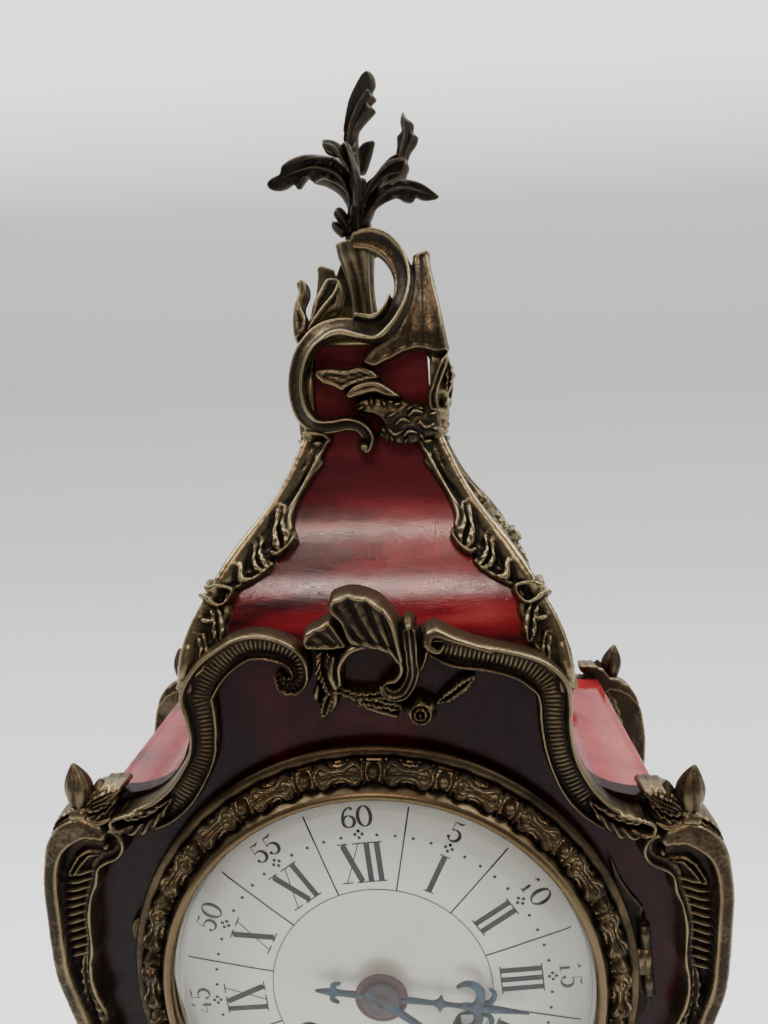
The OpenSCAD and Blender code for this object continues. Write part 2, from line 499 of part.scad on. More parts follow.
// Bezel: a lip over the dial, a sloped bed for the ornament and a roll at the edge
rim_r = sight_r + 9.7;
seat_p = bezel_h - 0.7;
rabbet_p = bezel_h - 2.8;
bed_r = [sight_r + 3, sight_r + 6.7];
bed_p = [bezel_h - 3.3, bezel_h - 4.7];
back_p = 1.2;
module bezel_ring() color("#6b5930") drum() {
    turned(concat([[sight_r, seat_p], [sight_r, bezel_h - 0.4], [sight_r + 0.35, bezel_h - 0.1],
        [sight_r + 0.8, bezel_h], [sight_r + 1.4, bezel_h - 0.4], [sight_r + 1.9, bezel_h - 1.3],
        [sight_r + 2.5, bezel_h - 1.8], [bed_r[0], bed_p[0]], [bed_r[1], bed_p[1]],
        [sight_r + 7, bed_p[1] - 0.6]],
        [for (a = [150 : -30 : -60]) [rim_r - 1.2 + 1.2 * cos(a), back_p + 1.1 + 1.2 * sin(a)]],
        [[rim_r - 0.8, back_p], [sight_r + 2.4, back_p], [sight_r + 2.4, rabbet_p], [sight_r + 1.4,
            rabbet_p],
        [sight_r + 1.4, seat_p]]));
    // Hinge ear
    difference() {
        union() {
            translate([hinge_x, proud(hinge_p), -ear_h]) cylinder(r = knuckle_r, h = 2 * ear_h);
            translate([rim_r - 1.5, proud(hinge_p + knuckle_r), -ear_h])
                cube([hinge_x - rim_r + 1.5, knuckle_r, 2 * ear_h]);
        }
        translate([hinge_x, proud(hinge_p), -ear_h - 1]) cylinder(r = pin_r + fit, h = 2 * ear_h + 2);
    }
    // Finger tab opposite the hinge
    rotate([0, -(180 - tab_turn), 0]) slab(proud(back_p + 1.5), proud(back_p + 0.2))
        polygon([[rim_r - 1, -3.4], [rim_r + 0.8, -2.6], [rim_r + 1.8, 0], [rim_r + 0.8, 2.6],
            [rim_r - 1, 3.4]]);
}
hinge_x = rim_r + 1.7;
hinge_p = 1.65;
knuckle_r = 1.3;
pin_r = 0.8;
ear_h = 3;
tab_turn = 18;

bead_r = (bed_r[0] + bed_r[1]) / 2;
bead_p = (bed_p[0] + bed_p[1]) / 2;
module bezel_ornament() color("#7d6a3a") drum() {
    turned([[bed_r[0] + 0.15, bed_p[0] + 0.02], [bed_r[0] + 0.4, bed_p[0] + 0.55], [bed_r[1] - 0.3,
        bed_p[1] + 0.6],
        [bed_r[1] - 0.1, bed_p[1] + 0.08]]);
    for (k = [0 : bead_n - 1]) rotate([0, -(k + 0.15) * 360 / bead_n, 0]) {
        at([bead_r, 0]) rod(1.4, proud(bead_p + 1.9), proud(bead_p + 0.6));
        for (s = [-1, 1]) rotate([0, s * 101 / bead_n, 0]) slab(proud(bead_p + 1.6), proud(bead_p + 0.6))
            polygon([[bead_r - 1.3, -0.4], [bead_r, -1.5], [bead_r + 1.4, -0.4], [bead_r + 1.4, 0.4],
                [bead_r, 1.5], [bead_r - 1.3, 0.4]]);
    }
}
// Glass that stands over the hands, flat in the middle with a bevel to its rim
glass_p = dial_p + 4.4;
glass_top = glass_p + glass_t;
glass_seat = seat_p - 0.05;
glass_rim = glass_seat - glass_t * 0.78;
module bezel_glass() color([0.8, 0.88, 0.9, 0.35]) drum() turned([[0, glass_p], [sight_r - 5, glass_p],
    [sight_r - 1.9, (glass_p + glass_rim) / 2], [sight_r + 0.2, glass_rim], [sight_r + 1.3, glass_rim],
    [sight_r + 1.3, glass_seat], [sight_r - 0.1, glass_seat], [sight_r - 0.4, seat_p + 0.4],
    [sight_r - 4, glass_top - 0.3], [sight_r - 5, glass_top], [0, glass_top]]);
module glass_retainer() color("#8a6f35") drum() turned([[sight_r + 0.4, rabbet_p - 0.7],
    [sight_r + 2.35, rabbet_p - 0.7], [sight_r + 2.35, rabbet_p - 0.02], [sight_r + 1.35, rabbet_p - 0.02],
    [sight_r + 1.35, glass_rim - 0.02], [sight_r + 0.4, glass_rim - 0.02]]);

// Scalloped hinge leaf on the case, with two fixed knuckles
leaf_t = 1;
leaf_edge = [[sight_r + 6, 24], [sight_r + 8, 20], [rim_r - 0.7, 12.5], [hinge_x - 0.4, 10.4],
    [hinge_x + 0.9, 8.6],
    [hinge_x - 0.3, 5.6], [hinge_x + 1.5, 3.6]];
module bezel_hinge() color("#5d4d2b") drum() difference() {
    union() {
        difference() {
            slab(proud(leaf_t), face_y) polygon(concat(leaf_edge,
                [for (i = [len(leaf_edge) - 1 : -1 : 0]) [leaf_edge[i][0], -leaf_edge[i][1]]]));
            rod(dial_hole_r + 4.2, face_y - 3, face_y + 1);
            translate([hinge_x - knuckle_r - 0.6, face_y - leaf_t - 1, -ear_h - 0.25])
                cube([8, leaf_t + 2, 2 * ear_h + 0.5]);
        }
        for (s = [-1, 1]) translate([hinge_x, proud(hinge_p), s * (ear_h + 0.25 + 2.6) - 2.6])
            cylinder(r = knuckle_r, h = 5.2);
    }
    translate([hinge_x, proud(hinge_p), -12]) cylinder(r = pin_r, h = 24);
}
// Both hinge pins: the bezel's, and the rear door's
module hinge_pins() color("#8a8a86") {
    drum() translate([hinge_x, proud(hinge_p), -ear_h - 5.4]) cylinder(r = pin_r, h = 2 * ear_h + 10.8);
    at_dial() translate([door_x, door_y, -ear_h - 5.4]) cylinder(r = pin_r, h = 2 * ear_h + 10.8);
}

// Dial: slightly domed enamel in a brass pan with a flange on the case
dial_r = sight_r + 0.1;
dial_back = dial_p - 2;
module dial() color("#e9e6da") drum() difference() {
    turned([[0, dial_back], [dial_r, dial_back], [dial_r, dial_p - 0.9], [dial_r - 4, dial_p - 0.35],
        [dial_r - 16, dial_p - 0.05], [0, dial_p]]);
    rod(3.4, proud(dial_p + 1), proud(dial_back - 1));
    for (s = [-1, 1]) at([s * going_barrel_c[0], going_barrel_c[1]]) rod(3, proud(dial_p + 1),
        proud(dial_back - 1));
}
pan_p = dial_back;
pan_r = dial_r + 0.2;
module dial_ring() color("#8a6f35") drum() {
    turned([[pan_r, pan_p], [pan_r, dial_p - 1.1], [pan_r + 0.9, dial_p - 1.1], [pan_r + 0.9, 0.9],
        [dial_hole_r + 4, 0.9],
        [dial_hole_r + 4, 0], [dial_hole_r - 0.1, 0], [dial_hole_r - 0.1, -2], [pan_r, -2], [pan_r,
            pan_p - 1],
        [plate_r - 5, pan_p - 1], [plate_r - 5, pan_p]]);
    for (a = [45, 135, 225, 315]) at([(plate_r - 3) * cos(a), (plate_r - 3) * sin(a)])
        rod(1.5, proud(pan_p - 1), plate_y);
}

// Movement plates and depths between them
plate_y = face_y + 9;
mid_y = plate_y + plate_t;
rear_y = mid_y + plate_gap;
function layer(y) = mid_y + y;

// Wheel and pinion sizes: module, teeth
m_great = 0.42;
n_great = 76;
n_second_pinion = 12;
m_second = 0.36;
n_second = 60;
n_centre_pinion = 12;
m_centre = 0.27;
n_centre = 84;
n_third_pinion = 7;
m_third = 0.24;
n_third = 77;
n_escape_pinion = 7;
n_escape = 36;
escape_r = 6.5;
m_strike_second = 0.3;
n_strike_second = 60;
n_pin_pinion = 8;
m_pin = 0.25;
n_pin = 64;
n_warning_pinion = 8;
m_warning = 0.21;
n_warning = 48;
n_fly_pinion = 7;
m_minute = 0.4;
n_cannon = 12;
n_minute = 36;
n_minute_pinion = 10;
n_hour = 40;

// Places of the arbors from the dial centre, each a mesh away from the one before
function reach(c, d, a) = c + d * [cos(a), sin(a)];
function mesh(m, n1, n2) = m * (n1 + n2) / 2;
centre_c = [0, 0];
second_turn = 33.8;
barrel_turn = -68.6;
third_turn = 118.5;
escape_turn = 54.5;
second_c = reach(centre_c, mesh(m_second, n_second, n_centre_pinion), second_turn);
going_barrel_c = reach(second_c, mesh(m_great, n_great, n_second_pinion), barrel_turn);
third_c = reach(centre_c, mesh(m_centre, n_centre, n_third_pinion), third_turn);
escape_c = reach(third_c, mesh(m_third, n_third, n_escape_pinion), escape_turn);
pallet_c = escape_c + [0, escape_r * 1.385];
strike_barrel_c = [-going_barrel_c[0], going_barrel_c[1]];
strike_second_turn = 93;
pin_turn = 80;
warning_turn = 60;
fly_turn = 10;
strike_second_c = reach(strike_barrel_c, mesh(m_great, n_great, n_second_pinion), strike_second_turn);
pin_c = reach(strike_second_c, mesh(m_strike_second, n_strike_second, n_pin_pinion), pin_turn);
warning_c = reach(pin_c, mesh(m_pin, n_pin, n_warning_pinion), warning_turn);
fly_c = reach(warning_c, mesh(m_warning, n_warning, n_fly_pinion), fly_turn);
minute_turn = 90;
minute_c = reach(centre_c, mesh(m_minute, n_cannon, n_minute), minute_turn);
m_hour = 2 * mesh(m_minute, n_cannon, n_minute) / (n_minute_pinion + n_hour);

// Turn of a wheel's first tooth so that it meets the wheel before it, n1 teeth turned by a1, in direction b
function meshed(b, a1, n1, n2) = b + 180 + ((b - a1) * n1 / 360 + 0.5) * 360 / n2;
centre_pinion_a = 0;
second_a = meshed(second_turn, centre_pinion_a, n_centre_pinion, n_second);
great_a = meshed(barrel_turn, 0, n_second_pinion, n_great);
third_pinion_a = meshed(third_turn, 0, n_centre, n_third_pinion);
escape_pinion_a = meshed(escape_turn, 0, n_third, n_escape_pinion);
strike_pinion_a = meshed(strike_second_turn, 0, n_great, n_second_pinion);
pin_pinion_a = meshed(pin_turn, 0, n_strike_second, n_pin_pinion);
warning_pinion_a = meshed(warning_turn, 0, n_pin, n_warning_pinion);
fly_pinion_a = meshed(fly_turn, 0, n_warning, n_fly_pinion);
minute_wheel_a = meshed(minute_turn, 0, n_cannon, n_minute);
hour_wheel_a = meshed(minute_turn + 180, 0, n_minute_pinion, n_hour);

// Straight-sided teeth, thinned so that a mesh has play
function teeth(m, n, up, down, share, a) = [for (k = [0 : n - 1]) for (q = [[-1, 0], [-0.38, 1], [0.38,
    1], [1, 0]])
    let (r = m * n / 2 + (q[1] > 0 ? up : -down) * m, w = share * 360 / n * q[0] * 0.72)
    r * [cos(a + k * 360 / n + w), sin(a + k * 360 / n + w)]];
// Openings between the arms of a wheel
module crossings(inner, outer, n, arm, y0, y1) for (k = [0 : n - 1]) slab(y0 - 1, y1 + 1) polygon(concat(
    [for (j = [0 : 6]) let (w = 180 / n - asin(arm / 2 / outer),
        a = k * 360 / n + w * (j / 3 - 1)) outer * [cos(a), sin(a)]],
    [for (j = [6 : -1 : 0]) let (w = 180 / n - asin(arm / 2 / inner),
        a = k * 360 / n + w * (j / 3 - 1)) inner * [cos(a), sin(a)]]));
module wheel(m, n, y0, y1, a = 0, arms = 5) difference() {
    slab(y0, y1) polygon(teeth(m, n, 1, 1.3, 0.42, a));
    if (arms > 0) crossings(m * n * 0.17, m * n / 2 - 3.4 * m - 0.3, arms, m * n * 0.055, y0, y1);
}
module pinion(m, n, y0, y1, a = 0) slab(y0, y1) polygon(teeth(m, n, 0.8, 1.45, 0.36, a));
pivot_r = 0.45;
arbor_r = 0.75;
thin_r = 0.48;
// An arbor between the plates with a pivot in each
module arbor(r = arbor_r) {
    rod(r, layer(0.15), layer(plate_gap - 0.15));
    rod(pivot_r, layer(-plate_t), layer(plate_gap + plate_t));
}
module pivot_hole(r = pivot_r) rod(r + fit, layer(-plate_t - 1), layer(plate_gap + plate_t + 1));
winding_r = 2;
between_plates = [second_c, third_c, escape_c, strike_second_c, pin_c, warning_c, fly_c];
hammer_c = [-28, 14];

module plate_holes() {
    for (c = between_plates) at(c) pivot_hole();
    for (c = [going_barrel_c, strike_barrel_c]) at(c) rod(winding_r + fit, layer(-plate_t - 1),
        layer(plate_gap + plate_t + 1));
    rod(arbor_r + fit, layer(-plate_t - 1), layer(plate_gap + plate_t + 1));
}
module front_plate() color("#b08d45") drum() {
    difference() {
        rod(plate_r, plate_y, mid_y);
        plate_holes();
        at(pallet_c) pivot_hole();
        at(hammer_c) pivot_hole();
    }
    at(minute_c) rod(1, plate_y - 5, plate_y);
    for (s = [-1, 1]) at([s * click_c[0], click_c[1]]) rod(0.9, plate_y - 2.6, plate_y);
}
pillar_a = [20, 160, 248, 292];
module rear_plate() color("#b08d45") drum() {
    difference() {
        rod(plate_r, rear_y, rear_y + plate_t);
        plate_holes();
        at(pallet_c) rod(0.9 + fit, rear_y - 1, rear_y + plate_t + 1);
        at(hammer_c) pivot_hole();
    }
    for (a = pillar_a) at([(plate_r - 3.4) * cos(a), (plate_r - 3.4) * sin(a)]) {
        rod(1.6, mid_y, rear_y);
        rod(2.3, mid_y + 10, mid_y + 20);
    }
}

// Spring barrels: a drum with a great wheel on its front
barrel_r = m_great * n_great / 2 - 1.6;
module barrel(a) difference() {
    union() {
        slab(layer(2), layer(3.5)) polygon(teeth(m_great, n_great, 1, 1.3, 0.42, a));
        rod(barrel_r, layer(3.5), layer(17));
        rod(3.6, layer(1.4), layer(17.6));
    }
    rod(winding_r + fit, layer(0), layer(19));
    difference() {
        rod(barrel_r - 1, layer(5), layer(15.8));
        rod(3.6, layer(4), layer(17));
    }
}
module going_barrel() color("#b9974c") drum() at(going_barrel_c) barrel(great_a);
module strike_barrel() color("#b9974c") drum() at(strike_barrel_c) barrel(0);

// Winding arbors with a square end and a ratchet wheel in front of the plate
ratchet_n = 24;
ratchet_r = 6.2;
square_p = dial_p - 0.8;
module winding_arbor() {
    rod(winding_r, layer(-plate_t - 3), layer(plate_gap + plate_t));
    translate([-1.35, proud(square_p), -1.35]) cube([2.7, layer(-plate_t - 3) - proud(square_p), 2.7]);
    slab(plate_y - 2.2, plate_y - 0.8) polygon([for (k = [0 : ratchet_n - 1]) for (q = [[0, ratchet_r],
        [0.15, ratchet_r - 1]])
        q[1] * [cos((k + q[0]) * 360 / ratchet_n), sin((k + q[0]) * 360 / ratchet_n)]]);
}
module going_winding_arbor() color("#7f8085") drum() at(going_barrel_c) winding_arbor();
module strike_winding_arbor() color("#7f8085") drum() at(strike_barrel_c) to_left() winding_arbor();

// Clicks on the front plate, their noses just clear of the ratchet teeth
click_c = [going_barrel_c[0] + 2.5, going_barrel_c[1] + ratchet_r + 4.2];
module click() difference() {
    slab(plate_y - 2.2, plate_y - 0.8) polygon([[-1.8, -1.4], [-0.6, -2], [1.6, -1.2], [1.9, 0.8], [0.4,
        1.9], [-1.6, 1.4],
        [-5.6, -2.8], [-5.1, -4.55], [-3.6, -3.4]]);
    rod(0.9 + fit, plate_y - 4, plate_y);
}
module going_click() color("#7f8085") drum() at(click_c) click();
module strike_click() color("#7f8085") drum() at([-click_c[0], click_c[1]]) to_left() click();

// Going train
module going_second_wheel() color("#b9974c") drum() at(second_c) {
    arbor();
    pinion(m_great, n_second_pinion, layer(1.2), layer(4.2));
    wheel(m_second, n_second, layer(20), layer(21.2), second_a);
}
module centre_wheel() color("#b9974c") drum() {
    rod(arbor_r, proud(dial_p + 2), layer(plate_gap + plate_t));
    pinion(m_second, n_centre_pinion, layer(19.4), layer(21.8), centre_pinion_a);
    wheel(m_centre, n_centre, layer(23.6), layer(24.5));
}
module third_wheel() color("#b9974c") drum() at(third_c) {
    arbor(thin_r);
    pinion(m_centre, n_third_pinion, layer(23), layer(25.2), third_pinion_a);
    wheel(m_third, n_third, layer(26.6), layer(27.5));
}
module escape_wheel() color("#b9974c") drum() at(escape_c) {
    arbor(thin_r);
    pinion(m_third, n_escape_pinion, layer(26), layer(28.2), escape_pinion_a);
    difference() {
        slab(layer(22.5), layer(23.2)) polygon([for (k = [0 : n_escape - 1]) for (q = [[0, 1], [0.22,
            0.84], [0.85, 0.84]])
            escape_r * q[1] * [cos((k + q[0]) * 360 / n_escape), sin((k + q[0]) * 360 / n_escape)]]);
        crossings(escape_r * 0.28, escape_r * 0.72, 4, 0.8, layer(22.5), layer(23.2));
    }
}

// Anchor over the escape wheel, its pallets just clear of the teeth, with the crutch behind the plate
crutch_y = rear_y + plate_t + 0.8;
module anchor() color("#6f7074") {
    drum() at(pallet_c) {
        rod(0.9, layer(0.15), crutch_y + 1.2);
        rod(pivot_r, layer(-plate_t), layer(1));
        slab(layer(22.3), layer(23.4)) polygon([[-1.8, 0.6], [0, 1.8], [1.8, 0.6], [5.2, -2.6], [5.9,
            -3.9], [5.2, -4],
            [3.9, -2.7], [0, -0.9], [-3.9, -2.7], [-5.2, -4], [-5.9, -3.9], [-5.2, -2.6]]);
    }
    hang() {
        slab(crutch_y, crutch_y + 1) polygon([[-1.3, 1.3], [1.3, 1.3], [0.8, -17], [2.8, -18.5], [2.8,
            -20], [-2.8, -20],
            [-2.8, -18.5], [-0.8, -17]]);
        for (s = [-1, 1]) translate([s * 1.9, 0, -19.2]) rod(0.6, crutch_y + 0.5, swing_y + 1.1);
    }
}
// The pendulum's axis, upright under the turned movement
hang_c = [pallet_c[0] * cos(dial_turn) - pallet_c[1] * sin(dial_turn),
    pallet_c[0] * sin(dial_turn) + pallet_c[1] * cos(dial_turn)];
module hang() at_dial() at(hang_c) children();
swing_y = crutch_y + 3;

// Back cock: a bridge behind the crutch with the stud that the pendulum swings on
module back_cock() color("#b9974c") {
    drum() at(pallet_c) {
        slab(swing_y + 1.4, swing_y + 2.8) polygon([[-9, -2], [9, -2], [9, 2.6], [4, 4.6], [-4, 4.6],
            [-9, 2.6]]);
        for (s = [-1, 1]) translate([s * 7.2, 0, 0.3]) rod(1.8, rear_y + plate_t, swing_y + 1.6);
    }
    hang() rod(0.7, swing_y - 1.1, swing_y + 1.6);
}

module pendulum() color("#c2a45c") hang() {
    // Suspension block, rod, bob and rating nut
    difference() {
        slab(swing_y - 1.1, swing_y + 1.2) polygon([[-1.6, -5], [1.6, -5], [1.8, 1], [0.9, 2.2], [-0.9,
            2.2], [-1.8, 1]]);
        rod(0.7 + fit, swing_y - 3, swing_y + 3);
    }
    translate([0, swing_y, -pendulum_l - bob_r - 6.6]) cylinder(r = 0.9, h = pendulum_l + bob_r + 3.4);
    translate([0, swing_y, -pendulum_l]) rotate([90, 0, 0]) rotate_extrude() polygon(both_x(
        [[0, 3], [bob_r * 0.5, 2.5], [bob_r * 0.85, 1.3], [bob_r, 0.4]]));
    translate([0, swing_y, -pendulum_l - bob_r - 4]) cylinder(r = 2.4, h = 2.6);
}
function both_x(h) = concat(h, [for (i = [len(h) - 1 : -1 : 0]) [h[i][0], -h[i][1]]]);

// Motion work and hands
cannon_r = 1.25;
pipe_r = 2.2;
// Hands: heights of their backs, their thickness, and the end of the cannon pipe
hour_p = dial_p + 2.2;
minute_p = dial_p + 3.2;
hand_t = 0.6;
cannon_p = dial_p + 4.1;
hand_turn_m = 90 - minute * 6;
hand_turn_h = 90 - (hour + minute / 60) * 30;
module minute_hand() color("#2b3a55") drum() {
    difference() {
        union() {
            rod(cannon_r, proud(cannon_p), layer(-plate_t - 0.2));
            pinion(m_minute, n_cannon, plate_y - 2.2, plate_y - 0.8);
            rod(4, proud(minute_p + hand_t), proud(minute_p));
            slab(proud(minute_p + hand_t), proud(minute_p)) rotate(hand_turn_m) polygon([[0, -1.2], [14,
                -0.9], [15, -2.6], [18, -3.2], [21, -1.6],
                [24, -0.8], [38, -0.35], [39, 0], [38, 0.35], [24, 0.8], [21, 1.6], [18, 3.2], [15, 2.6],
                    [14, 0.9],
                [0, 1.2], [-9, 1], [-11, 2.4], [-13, 0], [-11, -2.4], [-9, -1]]);
        }
        rod(arbor_r + fit, proud(dial_p + 2.1), layer(0));
    }
}
module hour_hand() color("#2b3a55") drum() difference() {
    union() {
        rod(5.7, proud(hour_p + hand_t), proud(hour_p));
        slab(proud(hour_p + hand_t), proud(hour_p)) rotate(hand_turn_h) {
            polygon([[4, -1], [13, -0.8], [14, -2], [16.4, -4.6], [18, -2], [21, -3], [23, -0.7], [30,
                -0.3], [31, 0],
                [30, 0.3], [23, 0.7], [21, 3], [18, 2], [16.4, 4.6], [14, 2], [13, 0.8], [4, 1]]);
            polygon([[-4, -1], [-4, 1], [-9, 1], [-10.5, 3], [-12, 1], [-14, 0], [-12, -1], [-10.5, -3],
                [-9, -1]]);
        }
    }
    rod(pipe_r, proud(cannon_p), proud(0));
}
module hour_wheel() color("#b9974c") drum() difference() {
    union() {
        rod(pipe_r, proud(hour_p + hand_t), plate_y - 3.4);
        wheel(m_hour, n_hour, plate_y - 4.4, plate_y - 3.4, hour_wheel_a, 0);
    }
    rod(cannon_r + fit, proud(cannon_p), plate_y);
}
module minute_wheel() color("#b9974c") drum() at(minute_c) difference() {
    union() {
        wheel(m_minute, n_minute, plate_y - 2.1, plate_y - 0.9, minute_wheel_a, 0);
        pinion(m_hour, n_minute_pinion, plate_y - 4.6, plate_y - 2.1);
    }
    rod(1 + fit, plate_y - 6, plate_y);
}

// Strike train
module strike_second_wheel() color("#b9974c") drum() at(strike_second_c) {
    arbor();
    pinion(m_great, n_second_pinion, layer(1.2), layer(4.2), strike_pinion_a);
    wheel(m_strike_second, n_strike_second, layer(20), layer(21));
}
pin_circle_r = 6.4;
module pin_wheel() color("#b9974c") drum() at(pin_c) {
    arbor();
    pinion(m_strike_second, n_pin_pinion, layer(19.2), layer(21.6), pin_pinion_a);
    difference() {
        wheel(m_pin, n_pin, layer(23.5), layer(24.4), 0, 0);
        crossings(2.2, pin_circle_r - 0.9, 5, 0.9, layer(23.5), layer(24.4));
    }
    for (k = [0 : 7]) at(pin_circle_r * [cos(k * 45), sin(k * 45)]) rod(0.4, layer(22), layer(23.6));
}
module warning_wheel() color("#b9974c") drum() at(warning_c) {
    arbor(0.6);
    pinion(m_pin, n_warning_pinion, layer(22.8), layer(25), warning_pinion_a);
    wheel(m_warning, n_warning, layer(17), layer(17.8), 0, 4);
}
module fly() color("#b9974c") drum() at(fly_c) {
    arbor(thin_r);
    pinion(m_warning, n_fly_pinion, layer(16.4), layer(18.4), fly_pinion_a);
    translate([-2.7, layer(5), -0.15]) cube([5.4, 7, 0.3]);
    rod(0.7, layer(5.5), layer(6.5));
}

// Hammer on its arbor, the tail near the pins and the head beside the bell
hammer_y = rear_y + plate_t + 8.4;
module hammer() color("#7f8085") drum() at(hammer_c) {
    rod(0.9, layer(0.15), layer(plate_gap - 0.15));
    rod(pivot_r, layer(-plate_t), hammer_y);
    slab(layer(22.1), layer(23.1)) polygon([[-1.4, 0], [0, 1.5], [4.4, 2.3], [4.7, 1.2], [1, -1.2]]);
    slab(hammer_y - 1.4, hammer_y) polygon([[-1.2, 1.4], [1.2, 1.4], [0.6, -20.5], [-1.4, -20.5]]);
    translate([-0.6, hammer_y - 0.7, -22.9]) rotate([0, 75, 0]) translate([0, 0, -2.4]) cylinder(r = 2.7,
        h = 4.2);
}

bell_y = rear_y + plate_t + 7.3;
module bell() color("#b59a60") drum() {
    translate([0, bell_y, 0]) rotate([-90, 0, 0]) difference() {
        rotate_extrude() polygon(concat([[bell_r - 1.2, 0], [bell_r, 0], [bell_r - 0.6, 3],
            [bell_r - 2.4, 6.2],
            [bell_r - 7, 9.4], [bell_r * 0.5, 11], [0, 11.4]], [[0, 10.2], [bell_r * 0.5 - 0.3, 9.8],
            [bell_r - 7.6, 8.3], [bell_r - 3.5, 5.6], [bell_r - 1.8, 2.7]]));
        cylinder(r = 1.2, h = 30);
    }
    // Stand: a post from the rear plate, an arm inside the bell and the bell screw
    at(stand_c) rod(1.8, rear_y + plate_t, bell_y + 7.6);
    translate([0, bell_y + 6, 0]) rotate([0, -atan2(stand_c[1], stand_c[0]), 0])
        translate([-2.4, 0, -1.8]) cube([norm(stand_c) + 3, 1.8, 3.6]);
    rod(1.2, bell_y + 6, bell_y + 13.4);
    rod(2.8, bell_y + 11.4, bell_y + 13);
}
stand_c = [12, -13];

// Two straps from the dial ring to the rear ring, with their screws
strap_x = plate_r + 4;
strap_end_y = half_d - board - 0.4;
module straps() color("#8a6f35") drum() for (s = [0, 1]) mirror([s, 0, 0]) {
    translate([strap_x, proud(pan_p - 1), -3.5]) cube([1.4, strap_end_y - proud(pan_p - 1), 7]);
    difference() {
        translate([strap_x - 5, strap_end_y - 1.6, -3.5]) cube([6.4, 1.6, 7]);
        at([strap_x - 2.4, 0]) rod(1.1, strap_end_y - 4, strap_end_y + 1);
    }
    at([strap_x - 2.4, 0]) {
        rod(1.1, strap_end_y - 5, strap_end_y + 1.2);
        rod(2.2, strap_end_y + 1.2, strap_end_y + 2.4);
    }
}

// Rear ring in the back board and the glazed door hinged on it
ring_r = back_hole_r + 4.4;
door_t = 2.6;
ring_face = half_d + 1;
door_x = ring_r + 2;
door_y = half_d + 1.7;
module rear_ring() color("#8a6f35") {
    at_dial() translate([0, half_d, 0]) rotate([-90, 0,
        0]) rotate_extrude($fn = 96) polygon([[back_hole_r - 2.4, 1],
        [ring_r, 1], [ring_r, 0], [back_hole_r - 0.1, 0], [back_hole_r - 0.1, -board - 0.4],
            [back_hole_r - 2.4, -board - 0.4]]);
    // Lugs under the strap screws
    drum() for (s = [0, 1]) mirror([s, 0, 0]) difference() {
        translate([strap_x - 5, strap_end_y, -4]) cube([back_hole_r - 1 - strap_x + 5, 1.2, 8]);
        at([strap_x - 2.4, 0]) rod(1.15, strap_end_y - 1, strap_end_y + 3);
    }
    at_dial() difference() {
        union() for (s = [-1, 1]) translate([0, 0, s * (ear_h + 0.25 + 2.6) - 2.6]) {
            translate([door_x, door_y, 0]) cylinder(r = knuckle_r, h = 5.2);
            translate([ring_r - 2, half_d, 0]) cube([door_x - ring_r + 2, 1, 5.2]);
        }
        translate([door_x, door_y, -12]) cylinder(r = pin_r, h = 24);
    }
}
module rear_door() color("#9a7d3e") at_dial() {
    translate([0, ring_face + 0.3, 0]) rotate([-90, 0,
        0]) rotate_extrude($fn = 96) polygon([[back_hole_r - 6, 1],
        [back_hole_r - 4, 1], [back_hole_r - 4, 0], [ring_r - 0.4, 0], [ring_r, 0.9], [ring_r - 1.6, 1.8],
        [back_hole_r - 1, door_t], [back_hole_r - 4, door_t], [back_hole_r - 6, door_t - 0.6]]);
    difference() {
        union() {
            translate([door_x, door_y, -ear_h]) cylinder(r = knuckle_r, h = 2 * ear_h);
            translate([ring_r - 1.4, door_y, -ear_h]) cube([door_x - ring_r + 1.4, knuckle_r, 2 * ear_h]);
        }
        translate([door_x, door_y, -ear_h - 1]) cylinder(r = pin_r + fit, h = 2 * ear_h + 2);
    }
    translate([-ring_r + 3, ring_face + 0.3 + 1.6, 0]) rotate([-90, 0, 0]) rotate_extrude()
        polygon([[0, 0], [1.2, 0], [1, 2.4], [2, 4], [1.7, 5.8], [0, 6.4]]);
}
module rear_door_glass() color([0.8, 0.88, 0.9, 0.35]) at_dial() rod(back_hole_r - 4.2, ring_face,
    ring_face + 1.2);

front_board();
case_shell();
back_board();
roof();
base_moulding();
finial_spray();
crown();
finial_rod();
roof_mount_fl();
roof_mount_fr();
roof_mount_rl();
roof_mount_rr();
arch_mount();
rear_arch_mount();
corner_mount_fl();
corner_mount_fr();
corner_mount_rl();
corner_mount_rr();
foot_fl();
foot_fr();
foot_rl();
foot_rr();
apron_mount();
bezel_ring();
bezel_ornament();
bezel_glass();
glass_retainer();
bezel_hinge();
hinge_pins();
dial();
dial_ring();
hour_hand();
minute_hand();
front_plate();
rear_plate();
going_barrel();
strike_barrel();
going_winding_arbor();
strike_winding_arbor();
going_click();
strike_click();
going_second_wheel();
centre_wheel();
third_wheel();
escape_wheel();
anchor();
back_cock();
pendulum();
minute_wheel();
hour_wheel();
strike_second_wheel();
pin_wheel();
warning_wheel();
fly();
hammer();
bell();
straps();
rear_ring();
rear_door();
rear_door_glass();
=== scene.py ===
"""Looks of a small waisted mantel clock: cast bronze mounts, tortoiseshell veneer, enamel dial.

Shapes are drawn in millimetres from the dial centre, x to the right and z up, and laid on the
clock's own surfaces. Cast work is a relief: strokes and outlines that carry a height over the
ground they lie on.
"""
import math

import bmesh
import bpy
import numpy as np
from mathutils import Matrix, Vector


